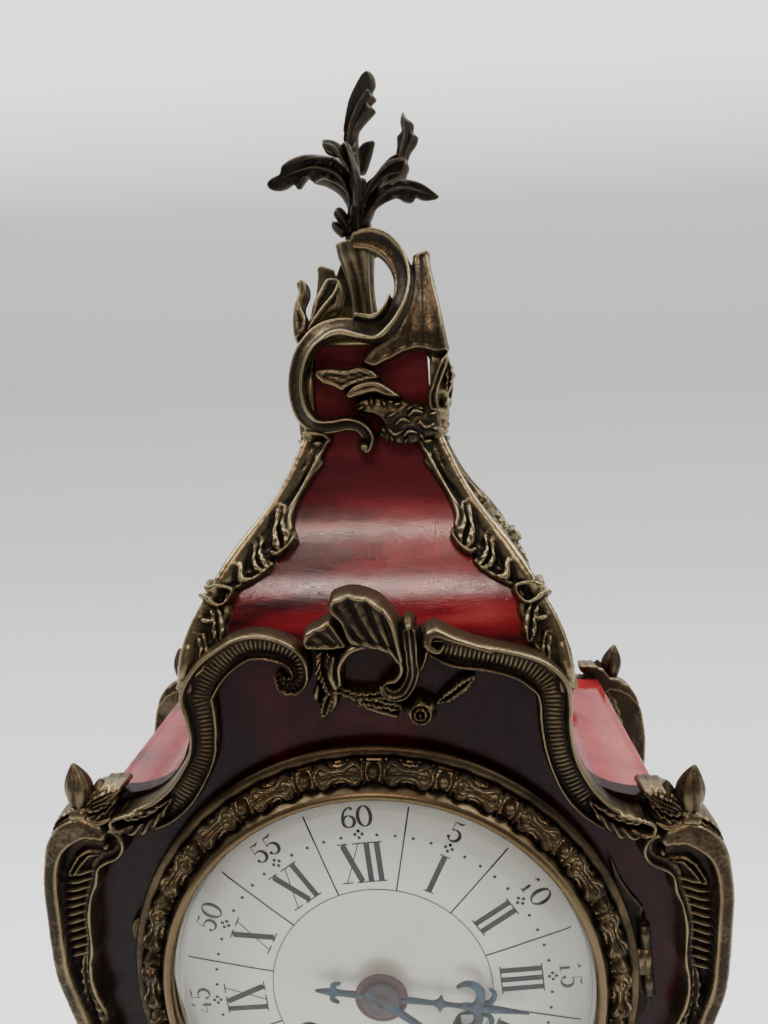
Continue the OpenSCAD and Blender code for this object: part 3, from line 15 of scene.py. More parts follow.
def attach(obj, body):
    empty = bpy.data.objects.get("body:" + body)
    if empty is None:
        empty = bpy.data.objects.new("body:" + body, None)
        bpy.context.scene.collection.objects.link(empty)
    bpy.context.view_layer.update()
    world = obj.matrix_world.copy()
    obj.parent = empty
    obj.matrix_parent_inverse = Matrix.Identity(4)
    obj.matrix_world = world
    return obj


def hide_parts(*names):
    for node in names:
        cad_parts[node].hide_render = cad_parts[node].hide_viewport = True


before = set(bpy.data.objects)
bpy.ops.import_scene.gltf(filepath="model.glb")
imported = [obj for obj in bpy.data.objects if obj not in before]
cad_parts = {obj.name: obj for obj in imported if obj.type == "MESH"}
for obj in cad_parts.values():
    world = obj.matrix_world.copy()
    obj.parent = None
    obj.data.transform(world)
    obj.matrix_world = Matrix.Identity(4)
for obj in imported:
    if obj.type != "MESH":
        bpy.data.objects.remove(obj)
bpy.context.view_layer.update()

MM = 0.001
# Height of the dial centre, half depth of the case, its front, and the turn of dial and bezel on it
DIAL_Z = 172.0
HALF_D = 33.3
FACE_Y = -HALF_D
TURN = math.radians(6)
rng = np.random.default_rng(7)


# Curves and reliefs

def smooth_path(points, step=0.7):
    """A smooth curve through points; further columns such as widths are carried along."""
    p = np.array(points, float)
    ext = np.vstack([2 * p[0] - p[1], p, 2 * p[-1] - p[-2]])
    out = []
    for i in range(len(p) - 1):
        a, b, c, d = ext[i:i + 4]
        k = max(2, int(np.ceil(np.linalg.norm((c - b)[:2]) / step)))
        t = (np.arange(k) / k)[:, None]
        out.append(0.5 * (2 * b + (c - a) * t + (2 * a - 5 * b + 4 * c - d) * t ** 2
                          + (3 * b - a - 3 * c + d) * t ** 3))
    out.append(p[-1:])
    return np.vstack(out)


def near_path(path, xs, zs, closed=False):
    """Distance, side, arc length and interpolated columns of the path at each point."""
    p = np.vstack([path, path[:1]]) if closed else path
    a, d = p[:-1, :2], p[1:, :2] - p[:-1, :2]
    l2 = np.maximum((d ** 2).sum(1), 1e-12)
    s = np.concatenate([[0], np.cumsum(np.sqrt(l2))])
    dist = np.full(xs.shape, 1e9)
    best = np.zeros(xs.shape, int)
    frac = np.zeros(xs.shape)
    for j in range(len(d)):
        t = np.clip(((xs - a[j, 0]) * d[j, 0] + (zs - a[j, 1]) * d[j, 1]) / l2[j], 0, 1)
        e = (xs - a[j, 0] - t * d[j, 0]) ** 2 + (zs - a[j, 1] - t * d[j, 1]) ** 2
        m = e < dist
        dist[m], best[m], frac[m] = e[m], j, t[m]
    side = np.sign(d[best, 0] * (zs - a[best, 1]) - d[best, 1] * (xs - a[best, 0]))
    cols = p[best, 2:] * (1 - frac)[:, None] + p[best + 1, 2:] * frac[:, None]
    return np.sqrt(dist), side, s[best] + frac * np.sqrt(l2[best]), cols


def inside_poly(path, xs, zs):
    """Which points lie inside a closed path."""
    hit = np.zeros(xs.shape, bool)
    x0, z0 = path[:, 0], path[:, 1]
    x1, z1 = np.roll(x0, -1), np.roll(z0, -1)
    for a, b, c, d in zip(x0, z0, x1, z1):
        if b != d:
            hit ^= ((b > zs) != (d > zs)) & (xs < (c - a) * (zs - b) / (d - b) + a)
    return hit


def bump(v, centre, half):
    """A round ridge across a stroke."""
    return np.sqrt(np.clip(1 - ((v - centre) / half) ** 2, 0, 1))


def edge_round(sd, e):
    """Rises from 0 at the outline to 1 at e inside it, as a quarter circle."""
    return np.sqrt(np.clip(1 - (1 - np.clip(sd / e, 0, 1)) ** 2, 0, 1))


class Relief:
    """A height over a flat ground on a fine grid, with a signed distance to its outline."""

    def __init__(self, x0, x1, z0, z1, step=0.3):
        self.step = step
        self.X, self.Z = np.meshgrid(np.arange(x0, x1 + step, step), np.arange(z0, z1 + step, step))
        self.sd = np.full(self.X.shape, -6.0)
        self.h = np.zeros(self.X.shape)

    def _window(self, p, margin):
        return ((self.X > p[:, 0].min() - margin) & (self.X < p[:, 0].max() + margin)
                & (self.Z > p[:, 1].min() - margin) & (self.Z < p[:, 1].max() + margin))

    def _blend(self, sel, sd, h, soft):
        old_sd, old_h = self.sd[sel], self.h[sel]
        both = (old_sd > 0) & (sd > 0)
        top = 0.5 * (old_h + h + np.sqrt((old_h - h) ** 2 + soft ** 2))
        self.h[sel] = np.where(both, top, np.where(sd > old_sd, h, old_h))
        self.sd[sel] = np.maximum(old_sd, sd)

    def stroke(self, pts, prof, edge=0.8, soft=0.25):
        """pts: x, z, half width, height. prof(u, v, w): height across the stroke."""
        p = smooth_path(pts)
        sel = self._window(p, p[:, 2].max() + 1.5)
        xs, zs = self.X[sel], self.Z[sel]
        dist, side, u, cols = near_path(p, xs, zs)
        w, hh = cols[:, 0], cols[:, 1]
        v = side * dist / np.maximum(w, 0.05)
        sd = w - dist
        h = prof(u, v, w) * hh * edge_round(sd, np.minimum(edge, w * 0.8))
        self._blend(sel, sd, np.maximum(h, 0), soft)

    def rod(self, pts, edge=0.8, lift=0.55):
        """A plain rounded rod."""
        self.stroke(pts, lambda u, v, w: lift + (1 - lift) * bump(v, 0, 1), edge)

    def leaf(self, pts, lobes=0, dent=0.22, vein=1.7, cup=0.3, depth=0.2, edge=0.8):
        """A veined leaf, its outline cut into lobes where that isn't 0."""
        self.stroke(lobed(pts, lobes, dent) if lobes else pts, leafy(vein, cup, depth), edge)

    def fill(self, outline, height, edge=0.8, soft=0.25, smooth=True):
        """height(x, z, sd): height inside a closed outline."""
        p = smooth_path(list(outline) + [outline[0]])[:-1] if smooth else np.array(outline, float)
        sel = self._window(p, 1.5)
        xs, zs = self.X[sel], self.Z[sel]
        dist = near_path(p, xs, zs, closed=True)[0]
        sd = np.where(inside_poly(p, xs, zs), dist, -dist)
        h = height(xs, zs, sd) if callable(height) else np.full(xs.shape, float(height))
        self._blend(sel, sd, np.maximum(h * edge_round(sd, edge), 0), soft)

    def dot(self, x, z, r, h):
        self.stroke([(x, z, r, h), (x + 0.01, z, r, h)], lambda u, v, w: bump(v, 0, 1.05), edge=r)

    def carve(self, pts, depth, soft_edge):
        """A groove along pts: x, z, half width."""
        p = smooth_path(pts)
        sel = self._window(p, p[:, 2].max() + soft_edge)
        dist, _, _, cols = near_path(p, self.X[sel], self.Z[sel])
        w = cols[:, 0]
        k = np.clip(1 - dist / (w + 1e-6), 0, 1)
        k = k * k * (3 - 2 * k)
        self.h[sel] = np.maximum(self.h[sel] - depth * k, 0.12 * (self.sd[sel] > 0))

    def mesh(self, name, place, back=0.0, grain=0.05):
        """The relief as a mesh, closed at back behind the ground. place(x, z, h) gives points in mm."""
        X, Z, h, sd = self.X, self.Z, self.h.copy(), self.sd
        inside = sd > 0
        h += grain * blur(rng.normal(size=h.shape)) * inside
        cell = inside[:-1, :-1] | inside[1:, :-1] | inside[:-1, 1:] | inside[1:, 1:]
        used = np.zeros(inside.shape, bool)
        for a in (slice(None, -1), slice(1, None)):
            for b in (slice(None, -1), slice(1, None)):
                used[a, b] |= cell
        gz, gx = np.gradient(sd, self.step)
        g = np.maximum(np.hypot(gx, gz), 0.3)
        out = used & ~inside
        move = np.where(out, np.clip(-sd, 0, 1.5 * self.step), 0) / g
        x, z = X + gx * move, Z + gz * move
        h = np.where(inside, np.maximum(h, 0.02), 0)
        index = -np.ones(inside.shape, int)
        index[used] = np.arange(used.sum())
        pts = place(x[used], z[used], h[used])
        r, c = np.nonzero(cell)
        quads = np.stack([index[r, c], index[r, c + 1], index[r + 1, c + 1], index[r + 1, c]], 1)
        n = len(pts)
        pts = np.vstack([pts, place(x[used], z[used], np.full(n, -back))])
        e = np.concatenate([quads[:, [k, (k + 1) % 4]] for k in range(4)])
        key = {(a, b) for a, b in map(tuple, e)}
        rim = np.array([(a, b) for a, b in key if (b, a) not in key])
        walls = np.stack([rim[:, 1], rim[:, 0], rim[:, 0] + n, rim[:, 1] + n], 1)
        return make_mesh(name, pts, np.vstack([quads, quads[:, ::-1] + n, walls]))


def blur(a):
    return (a + np.roll(a, 1, 0) + np.roll(a, -1, 0) + np.roll(a, 1, 1) + np.roll(a, -1, 1)) / 5


# Meshes and pieces

def make_mesh(name, pts_mm, faces):
    me = bpy.data.meshes.new(name)
    me.from_pydata((np.asarray(pts_mm, float) * MM).tolist(), [], [list(map(int, f)) for f in faces])
    me.validate()
    me.update()
    ob = bpy.data.objects.new(name, me)
    bpy.context.collection.objects.link(ob)
    return smooth(ob)


def smooth(ob):
    for f in ob.data.polygons:
        f.use_smooth = True
    return ob


def orient(ob, close=False):
    """Turns all faces outwards; close first joins doubled points and fills open ends."""
    bm = bmesh.new()
    bm.from_mesh(ob.data)
    if close:
        bmesh.ops.remove_doubles(bm, verts=bm.verts, dist=1e-7)
        bmesh.ops.holes_fill(bm, edges=[e for e in bm.edges if e.is_boundary], sides=0)
    bmesh.ops.recalc_face_normals(bm, faces=bm.faces)
    bm.to_mesh(ob.data)
    bm.free()
    return ob


def wear_and_shading(ob, gain=1.0):
    """Stores how far each point stands out from its neighbours: rubbed metal and a painted highlight where
    it stands out, patina and painted shade in the hollows.
    """
    me = ob.data
    n = len(me.vertices)
    co = np.empty(n * 3)
    me.vertices.foreach_get("co", co)
    co = co.reshape(-1, 3) / MM
    no = np.empty(n * 3)
    me.vertices.foreach_get("normal", no)
    no = no.reshape(-1, 3)
    ed = np.empty(len(me.edges) * 2, int)
    me.edges.foreach_get("vertices", ed)
    a, b = ed.reshape(-1, 2).T
    count = np.maximum(np.bincount(a, minlength=n) + np.bincount(b, minlength=n), 1)

    def mean(f):
        out = np.zeros_like(f)
        for k in range(f.shape[1]):
            out[:, k] = np.bincount(a, f[b, k], n) + np.bincount(b, f[a, k], n)
        return out / count[:, None]

    low = co
    for _ in range(3):
        low = mean(low)
    w = ((co - low) * no).sum(1)[:, None]
    w = (w + mean(w)) / 2
    w = np.clip(0.5 + w[:, 0] * 2.2 * gain, 0, 1)
    at = me.attributes.new("wear_and_shading", "FLOAT", "POINT")
    at.data.foreach_set("value", w.astype(np.float32))
    return ob


def dress(ob, mat, body="case", replaces=(), shaded_and_worn=True):
    """Finishes a piece: its material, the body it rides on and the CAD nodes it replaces."""
    # The measure for rubbed metal with a painted highlight, and for patina with painted shade
    if shaded_and_worn and "wear_and_shading" not in ob.data.attributes:
        wear_and_shading(ob)
    ob.data.materials.clear()
    ob.data.materials.append(mat)
    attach(ob, body)
    for n in replaces:
        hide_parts(n)


def joined(name, obs):
    """Several meshes as one piece."""
    verts, faces, at = [], [], 0
    for o in obs:
        verts += [tuple(v.co / MM) for v in o.data.vertices]
        faces += [[i + at for i in f.vertices] for f in o.data.polygons]
        at += len(o.data.vertices)
        bpy.data.objects.remove(o)
    return make_mesh(name, verts, faces)


def mirrored(ob, name, x=False, y=False):
    pts = np.array([v.co for v in ob.data.vertices]) / MM
    faces = [list(f.vertices) for f in ob.data.polygons]
    if x:
        pts[:, 0] *= -1
    if y:
        pts[:, 1] *= -1
    if x != y:
        faces = [f[::-1] for f in faces]
    return make_mesh(name, pts, faces)


def ring_faces(m, n):
    """Faces that join m rings of n points."""
    return [[i * n + j, i * n + (j + 1) % n, (i + 1) * n + (j + 1) % n, (i + 1) * n + j]
            for i in range(m - 1) for j in range(n)]


def end_faces(m, n):
    return [list(range(n))[::-1], list(range((m - 1) * n, m * n))]


def tube(name, path, radius, sides, shape):
    """A round rod along a path; shape(t, a) scales the radius round it."""
    p = np.array(path, float)
    m = len(p)
    t = np.gradient(p, axis=0)
    t /= np.linalg.norm(t, axis=1)[:, None]
    up = np.array([0, -1.0, 0.02])
    pts = []
    a = np.arange(sides) * 2 * np.pi / sides
    for i in range(m):
        s = np.cross(t[i], up)
        s /= np.linalg.norm(s)
        u = np.cross(s, t[i])
        k = shape(i / (m - 1), a)
        pts.append(p[i] + radius[i] * (np.cos(a) * k)[:, None] * s
                   + radius[i] * (np.sin(a) * k)[:, None] * u)
    return orient(make_mesh(name, np.vstack(pts), ring_faces(m, sides) + end_faces(m, sides)))


def lathe(name, profile, n, flute=None, centre=(0, 0, 0)):
    """Turns r, h points about z; flute(a, t) scales the radius at angle a and part t of the profile."""
    a = np.arange(n) * 2 * np.pi / n
    m = len(profile)
    rows = []
    for i, (r, h) in enumerate(profile):
        k = flute(a, i / (m - 1)) if flute else 1.0
        rows.append(np.stack([r * k * np.cos(a), r * k * np.sin(a), np.full(n, float(h))], 1))
    return smooth(orient(make_mesh(name, np.vstack(rows) + np.array(centre), ring_faces(m, n)), True))


def slab(name, corners, z0, z1):
    """An upright prism over four corners."""
    pts = [(x, y, z) for z in (z0, z1) for x, y in corners]
    return orient(make_mesh(name, pts, [(3, 2, 1, 0), (4, 5, 6, 7), (0, 1, 5, 4), (1, 2, 6, 5),
        (2, 3, 7, 6), (3, 0, 4, 7)]))


def on_face(x, z, h):
    """A placing on the flat front of the case."""
    return np.stack([x, FACE_Y - h, z + DIAL_Z], 1)


def on_drum(p):
    """Points drawn upright for the dial, turned with the movement."""
    c, s = math.cos(TURN), math.sin(TURN)
    x, y, z = p[:, 0], p[:, 1], p[:, 2] - DIAL_Z
    return np.stack([x * c - z * s, y, x * s + z * c + DIAL_Z], 1)


def turn_with_drum(ob):
    for v in ob.data.vertices:
        v.co = Vector(on_drum(np.array([v.co / MM]))[0]) * MM


# Materials

class Nodes:
    """Short spelling for a material's nodes."""

    def __init__(self, name):
        self.mat = bpy.data.materials.new(name)
        self.mat.use_nodes = True
        self.t = self.mat.node_tree
        self.t.nodes.clear()
        self.out = self.t.nodes.new("ShaderNodeOutputMaterial")

    def new(self, kind, props=None, **inputs):
        """A node; an input's name is spelled with _ for a space."""
        n = self.t.nodes.new("ShaderNode" + kind)
        for k, v in (props or {}).items():
            setattr(n, k, v)
        for k, v in inputs.items():
            self.put(n.inputs[k.replace("_", " ")], v)
        return n

    def put(self, sock, v):
        """Links an output to a socket, or gives it a value; a colour may come without its alpha."""
        if isinstance(v, bpy.types.NodeSocket):
            self.t.links.new(v, sock)
        else:
            sock.default_value = (*v, 1) if sock.type == "RGBA" and len(v) == 3 else v

    def coords(self, scale=(1, 1, 1), turn=(0, 0, 0)):
        own = self.new("TexCoord").outputs["Object"]
        return self.new("Mapping", Vector=own, Scale=scale, Rotation=turn).outputs[0]

    def noise(self, vec, scale, detail, rough, warp=0.0):
        n = self.new("TexNoise", Vector=vec, Scale=scale, Detail=detail, Roughness=rough, Distortion=warp)
        return n.outputs[0]

    def ramp(self, fac, stops):
        n = self.new("ValToRGB")
        els = n.color_ramp.elements
        while len(els) < len(stops):
            els.new(0.5)
        for e, (p, c) in zip(els, stops):
            e.position = p
            e.color = (*c, 1)
        self.put(n.inputs[0], fac)
        return n.outputs[0]

    def curve(self, fac, a, b, c=0.0, d=1.0):
        """fac from a to b mapped to c to d, and held there beyond."""
        return self.new("MapRange", Value=fac, From_Min=a, From_Max=b, To_Min=c, To_Max=d).outputs[0]

    def mix(self, fac, a, b):
        n = self.new("Mix", {"data_type": "RGBA"}, Factor=fac)
        self.put(n.inputs[6], a)
        self.put(n.inputs[7], b)
        return n.outputs[2]

    def math(self, op, a, b=0.0):
        n = self.new("Math", {"operation": op})
        self.put(n.inputs[0], a)
        self.put(n.inputs[1], b)
        return n.outputs[0]

    def bump(self, height, strength, dist):
        return self.new("Bump", Strength=strength, Distance=dist, Height=height).outputs[0]

    def surface(self, base, rough, metal=0.0, **more):
        n = self.new("BsdfPrincipled", Base_Color=base, Roughness=rough, Metallic=metal, **more)
        self.t.links.new(n.outputs[0], self.out.inputs[0])
        return self.mat


def bronze(name, dark, mid, bright, rough=(0.55, 0.3), lift=0.0):
    """Patinated bronze: patina and painted shade in the hollows, olive ground, rubbed gold and a painted
    highlight on what stands out.
    """
    m = Nodes(name)
    vec = m.coords()
    w = m.new("Attribute", {"attribute_name": "wear_and_shading"}).outputs["Fac"]
    patch = m.noise(vec, 90, 5, 0.6)
    fine = m.noise(vec, 900, 3, 0.6)
    w = m.math("ADD", w, m.math("MULTIPLY", m.math("SUBTRACT", patch, 0.5), 0.75))
    w = m.math("ADD", w, m.math("MULTIPLY", m.math("SUBTRACT", fine, 0.5), 0.3))
    w = m.math("ADD", w, lift)
    # Painted shade darkens the hollows and a painted highlight lightens what stands out, over patina and
    # rubbed metal
    half_lit_and_worn = tuple(0.55 * a + 0.45 * b for a, b in zip(mid, bright))
    col = m.ramp(w, [(0.2, dark), (0.47, mid), (0.62, half_lit_and_worn), (0.98, bright)])
    warm = m.noise(vec, 40, 3, 0.5)
    col = m.mix(m.curve(warm, 0.45, 0.7, 0, 0.35), col, (mid[0] * 1.5, mid[1] * 0.95, mid[2] * 0.55))
    rg = m.curve(w, 0.25, 0.8, rough[0], rough[1])
    bp = m.bump(m.math("ADD", fine, m.math("MULTIPLY", patch, 0.6)), 0.35, 0.00025)
    return m.surface(col, rg, m.curve(w, 0.15, 0.5, 0.55, 0.95), Normal=bp)


def plain_metal(name, color, rough):
    m = Nodes(name)
    n = m.noise(m.coords(), 300, 4, 0.6)
    col = m.mix(m.curve(n, 0.3, 0.7, 0, 0.6), color, tuple(c * 0.72 for c in color))
    return m.surface(col, m.curve(n, 0.3, 0.7, rough, rough + 0.125), 1.0, Normal=m.bump(n, 0.1, 0.0001))


def tortoiseshell(name, dark, red, light, clouds, scale, streak, rough=0.16, gloss=(0.5, 0.5), top=None):
    """Stained shell under polish: dark clouds drawn out in streaks over red.

    gloss: reflection and coat. top: the heights between which the shell turns dull and dark.
    """
    m = Nodes(name)
    vec = m.coords(streak, (0.25, 0.1, 0.35))
    a = m.noise(vec, scale, 6, 0.62, 0.8)
    b = m.noise(vec, scale * 4.2, 5, 0.6, 0.5)
    f = m.math("ADD", m.math("MULTIPLY", a, 0.72), m.math("MULTIPLY", b, 0.28))
    col = m.ramp(f, [(clouds[0], dark), (clouds[1], red), (clouds[2], light)])
    fine = m.noise(m.coords((1, 1, 6)), 700, 3, 0.6)
    col = m.mix(m.curve(fine, 0.55, 0.8, 0, 0.25), col, tuple(c * 0.5 for c in red))
    wave = m.noise(m.coords(), 26, 2, 0.4)
    bp = m.bump(m.math("ADD", m.math("MULTIPLY", fine, 0.12), wave), 0.18, 0.0012)
    scuff = m.noise(m.coords(), 260, 5, 0.75)
    rg = m.curve(scuff, 0.42, 0.62, rough, rough + 0.12)
    shine = gloss[0]
    if top:
        height = m.new("SeparateXYZ", Vector=m.coords()).outputs["Z"]
        up = m.curve(height, *top)
        rg = m.math("ADD", rg, m.math("MULTIPLY", up, 0.45))
        col = m.mix(m.math("MULTIPLY", up, 0.75), col, (0.05, 0.011, 0.015))
        # The polish is kept in two bands across the roof and worn between them
        polish = [(0, 0.4), (0.2, 0.12), (0.33, 0.2), (0.39, 0.75), (0.44, 0.25), (0.49, 0.15), (0.55, 0.2),
            (0.605, 0.6), (0.65, 0.2), (0.72, 0.06), (1, 0.06)]
        shine = m.ramp(m.curve(height, 0.24, 0.29), [(t, (k, k, k)) for t, k in polish])
    return m.surface(col, rg, Normal=bp, Specular_IOR_Level=shine, Coat_Weight=gloss[1], Coat_Roughness=0.12)


BRONZE = bronze("bronze_patina", (0.006, 0.005, 0.004), (0.036, 0.028, 0.017), (0.23, 0.188, 0.105))
BRONZE_CASE = bronze("bronze_case", (0.005, 0.004, 0.003), (0.027, 0.020, 0.013), (0.19, 0.15, 0.085),
                     (0.58, 0.34), -0.05)
BRONZE_DARK = bronze("bronze_dark", (0.003, 0.002, 0.002), (0.011, 0.009, 0.007), (0.075, 0.06, 0.04),
                     (0.6, 0.4), -0.04)
BEZEL_RING = bronze("bezel_ring_dull", (0.007, 0.005, 0.004), (0.030, 0.022, 0.013), (0.125, 0.092, 0.048),
                    (0.5, 0.33), -0.02)
BEZEL = bronze("bezel_bronze", (0.007, 0.005, 0.004), (0.046, 0.034, 0.019), (0.27, 0.21, 0.11),
    (0.5, 0.27), 0.1)
BRONZE_PLAIN = bronze("bronze_plain", (0.006, 0.005, 0.004), (0.036, 0.028, 0.017), (0.21, 0.17, 0.095),
                      (0.55, 0.32), 0.5)
BRASS = plain_metal("brass_brushed", (0.50, 0.35, 0.15), 0.3)
BELL = plain_metal("bell_metal", (0.55, 0.42, 0.23), 0.22)
STEEL = plain_metal("steel_ground", (0.36, 0.36, 0.37), 0.3)
SHELL_FRONT = tortoiseshell("shell_front", (0.004, 0.001, 0.002), (0.020, 0.0015, 0.003),
    (0.085, 0.006, 0.007), (0.36, 0.54, 0.74), 22, (1, 1, 0.6), 0.24, (0.12, 0.04))
SHELL = tortoiseshell("shell_red", (0.030, 0.005, 0.007), (0.20, 0.012, 0.017), (0.42, 0.06, 0.052),
    (0.38, 0.50, 0.64), 24, (0.35, 0.45, 1.7), 0.05, (0.5, 0.0), (0.2715, 0.277))
SHELL_DARK = tortoiseshell("shell_dark", (0.008, 0.002, 0.003), (0.045, 0.004, 0.006), (0.13, 0.012, 0.012),
                           (0.36, 0.52, 0.72), 22, (1, 1, 0.7))


def glass_material():
    m = Nodes("clear_glass")
    tr = m.new("BsdfTransparent", Color=(0.95, 0.96, 0.955, 1))
    gl = m.new("BsdfGlossy", Color=(1, 1, 1, 1), Roughness=0.015)
    back = m.new("NewGeometry").outputs["Backfacing"]
    fr = m.math("MULTIPLY", m.new("Fresnel", IOR=1.5).outputs[0], m.math("SUBTRACT", 1.0, back))
    mx = m.new("MixShader")
    for sock, out in zip(mx.inputs, (fr, tr.outputs[0], gl.outputs[0])):
        m.put(sock, out)
    m.put(m.out.inputs[0], mx.outputs[0])
    return m.mat


def enamel_material():
    m = Nodes("enamel_white")
    vec = m.coords()
    a = m.noise(vec, 60, 5, 0.6)
    b = m.noise(vec, 420, 4, 0.65)
    col = m.mix(m.curve(a, 0.35, 0.7, 0, 0.6), (0.85, 0.85, 0.745), (0.72, 0.715, 0.615))
    xyz = m.new("SeparateXYZ", Vector=vec)
    z = m.math("SUBTRACT", xyz.outputs["Z"], DIAL_Z * MM)
    r = m.math("SQRT", m.math("ADD", m.math("POWER", xyz.outputs["X"], 2), m.math("POWER", z, 2)))
    # Painted shade: the enamel darkens towards its rim, where the bezel overhangs it
    col = m.mix(m.curve(r, 0.026, 0.0455, 0, 0.85), col, (0.30, 0.297, 0.26))
    col = m.mix(m.curve(b, 0.62, 0.8, 0, 0.35), col, (0.44, 0.425, 0.36))
    rg = m.curve(a, 0.3, 0.7, 0.16, 0.3)
    return m.surface(col, rg, Normal=m.bump(a, 0.05, 0.0004), Coat_Weight=0.3)


def paint_material(name, color, rough):
    m = Nodes(name)
    n = m.noise(m.coords(), 500, 4, 0.6)
    col = m.mix(m.curve(n, 0.4, 0.75, 0, 0.55), color, tuple(min(1, c * 2.2 + 0.006) for c in color))
    return m.surface(col, rough, Specular_IOR_Level=0.25)


def blued_material():
    m = Nodes("blued_steel")
    n = m.noise(m.coords(), 220, 5, 0.6)
    col = m.ramp(n, [(0.3, (0.007, 0.013, 0.024)), (0.5, (0.013, 0.035, 0.062)), (0.7, (0.025, 0.10, 0.15))])
    return m.surface(col, m.curve(n, 0.35, 0.7, 0.35, 0.55), 0.45, Normal=m.bump(n, 0.15, 0.0002))


GLASS = glass_material()
ENAMEL = enamel_material()
INK = paint_material("dial_ink", (0.002, 0.003, 0.006), 0.6)
INK_FAINT = paint_material("dial_ink_faint", (0.022, 0.022, 0.023), 0.6)
COLLET = paint_material("collet_dark", (0.035, 0.03, 0.03), 0.35)
BLUED = blued_material()
BOSS = paint_material("hand_boss", (0.055, 0.014, 0.014), 0.45)

# Surfaces of the clock: half widths and heights over the dial centre

NECK_W, NECK_Z, ROOF_H, TOP_W = 39.5, 66.0, 51.0, 13.2
TOP_D = TOP_W * 0.94
ROOF_Z = NECK_Z + ROOF_H
CAP_Z = ROOF_Z + 21
# The roof's curve: part of the height against part of the width, in even steps and smoothed
OGEE = smooth_path([(0, 1), (0.1, 0.965), (0.2, 0.91), (0.35, 0.775), (0.51, 0.57), (0.667, 0.33),
                    (0.82, 0.145), (1, 0)], 0.01)
OGEE = np.stack([np.linspace(0, 1, 201), np.interp(np.linspace(0, 1, 201), OGEE[:, 0], OGEE[:, 1])], 1)
for _ in range(160):
    OGEE[1:-1, 1] = (OGEE[:-2, 1] + 2 * OGEE[1:-1, 1] + OGEE[2:, 1]) / 4


def roof_at(z):
    """Half width and half depth of the roof at heights over the dial centre, with their slopes."""
    s = np.clip((np.asarray(z, float) - NECK_Z) / ROOF_H, 0, 1)
    f = np.interp(s, *OGEE.T)
    g = (np.interp(s + 0.01, *OGEE.T) - np.interp(s - 0.01, *OGEE.T)) / 0.02 / ROOF_H
    w, d = TOP_W + (NECK_W - TOP_W) * f, TOP_D + (HALF_D - TOP_D) * f
    return w, d, g * (NECK_W - TOP_W), g * (HALF_D - TOP_D)


# The right edge of the case: the hollow shoulder, then the side down to the base
COVE = np.array([(59.5 - 20 * math.cos(a) ** 0.7, 66 - 23 * math.sin(a) ** 0.7)
                 for a in np.linspace(0.02, math.pi / 2, 40)])
SIDE = smooth_path([(59.5, 43), (63.1, 35.5), (66.3, 22), (67.5, 8), (65.5, -13), (58.5, -40),
    (49.95, -68.1), (45, -92), (46.76, -107), (51.4, -124), (56, -142)], 0.8)


def side_at(z):
    return np.interp(-np.asarray(z, float), -SIDE[:, 1], SIDE[:, 0])


def on_roof_corner(v, z, h):
    """Across a front right corner of the roof: v < 0 on the front, v > 0 on the side."""
    w, d, gw, gd = roof_at(z)
    front = np.stack([np.zeros_like(z), -np.ones_like(z), -gd], 1)
    side = np.stack([np.ones_like(z), np.zeros_like(z), -gw], 1)
    t = np.clip(0.5 + v / 3.2, 0, 1)[:, None]
    n = front * (1 - t) + side * t
    n /= np.linalg.norm(n, axis=1)[:, None]
    base = np.stack([w + np.minimum(v, 0) + 0.1, -(d + 0.1) + np.maximum(v, 0), z + DIAL_Z], 1)
    low = np.clip((76 - z) / 6, 0, 1) * (v < 0)
    base[:, 1] = np.minimum(base[:, 1], -HALF_D * low + base[:, 1] * (1 - low))
    return base + n * (h * (1 + 0.25 * np.exp(-(v / 1.6) ** 2)))[:, None]


# Where the photograph was taken from
EYE = np.array([13.5, -184.7, 303.1])


def seen(depth, plane=-12.8):
    """A placing for shapes drawn as the eye sees them on an upright plane."""
    def place(x, z, h):
        q = np.stack([x, np.full_like(x, plane), z + DIAL_Z], 1)
        y = depth(x, z)
        s = (y - EYE[1]) / (plane - EYE[1])
        p = EYE + (q - EYE) * s[:, None]
        lean = depth(x, z + 0.5) - depth(x, z - 0.5)
        n = np.stack([-(depth(x + 0.5, z) - depth(x - 0.5, z)), -np.ones_like(x), lean], 1)
        n /= np.linalg.norm(n, axis=1)[:, None]
        return p + n * h[:, None]
    return place


# Profiles across cast work

def lipped(side, rib=0.95, deep=0.28):
    """A bright outer lip, a ribbed hollow and a narrow inner roll; side tells where the lip is."""
    def prof(u, v, w):
        v = v * side
        ribs = 0.5 + 0.5 * np.cos(2 * np.pi * u / rib)
        hollow = deep + 0.15 * v + 0.14 * ribs * np.clip(1.2 - np.abs(v + 0.1) / 0.6, 0, 1)
        return np.maximum(np.maximum(bump(v, 0.74, 0.27), 0.64 * bump(v, -0.85, 0.17)), hollow)
    return prof


def leafy(vein=1.7, cup=0.3, depth=0.2):
    """A leaf: sunk midrib, swelling lobes with oblique veins and a turned-up edge."""
    def prof(u, v, w):
        a = np.abs(v)
        veins = 0.5 + 0.5 * np.cos(2 * np.pi * (u - a * w * 0.95) / vein)
        return (0.66 + cup * bump(a, 0.6, 0.5) - 0.28 * np.exp(-(v / 0.14) ** 2)
                - depth * veins * np.clip(a * 2.2, 0, 1))
    return prof


def ridged(n=2, depth=0.3):
    """Rounded with grooves along its length."""
    def prof(u, v, w):
        hump = bump(v, 0, 1)
        return (0.55 + 0.45 * hump) - depth * (0.5 - 0.5 * np.cos(np.pi * n * v)) * hump
    return prof


def fluted(foot, ribs, height, rim=0.7, depth=0.9, curl=0.0):
    """A shell: flutes that spread from a foot, with a turned rim."""
    def h(x, z, sd):
        r = np.hypot(x - foot[0], z - foot[1])
        a = np.arctan2(z - foot[1], x - foot[0]) + curl * r
        f = np.abs(np.cos(a * ribs / 2))
        dish = 0.82 + 0.18 * np.clip(r / 14, 0, 1)
        flutes = depth * (f ** 0.7 - 0.6) * np.clip(r / 6, 0.15, 1) * np.clip((sd - 0.5) / 0.8, 0.25, 1)
        return height * dish + flutes + rim * bump(sd, 0.85, 0.8)
    return h


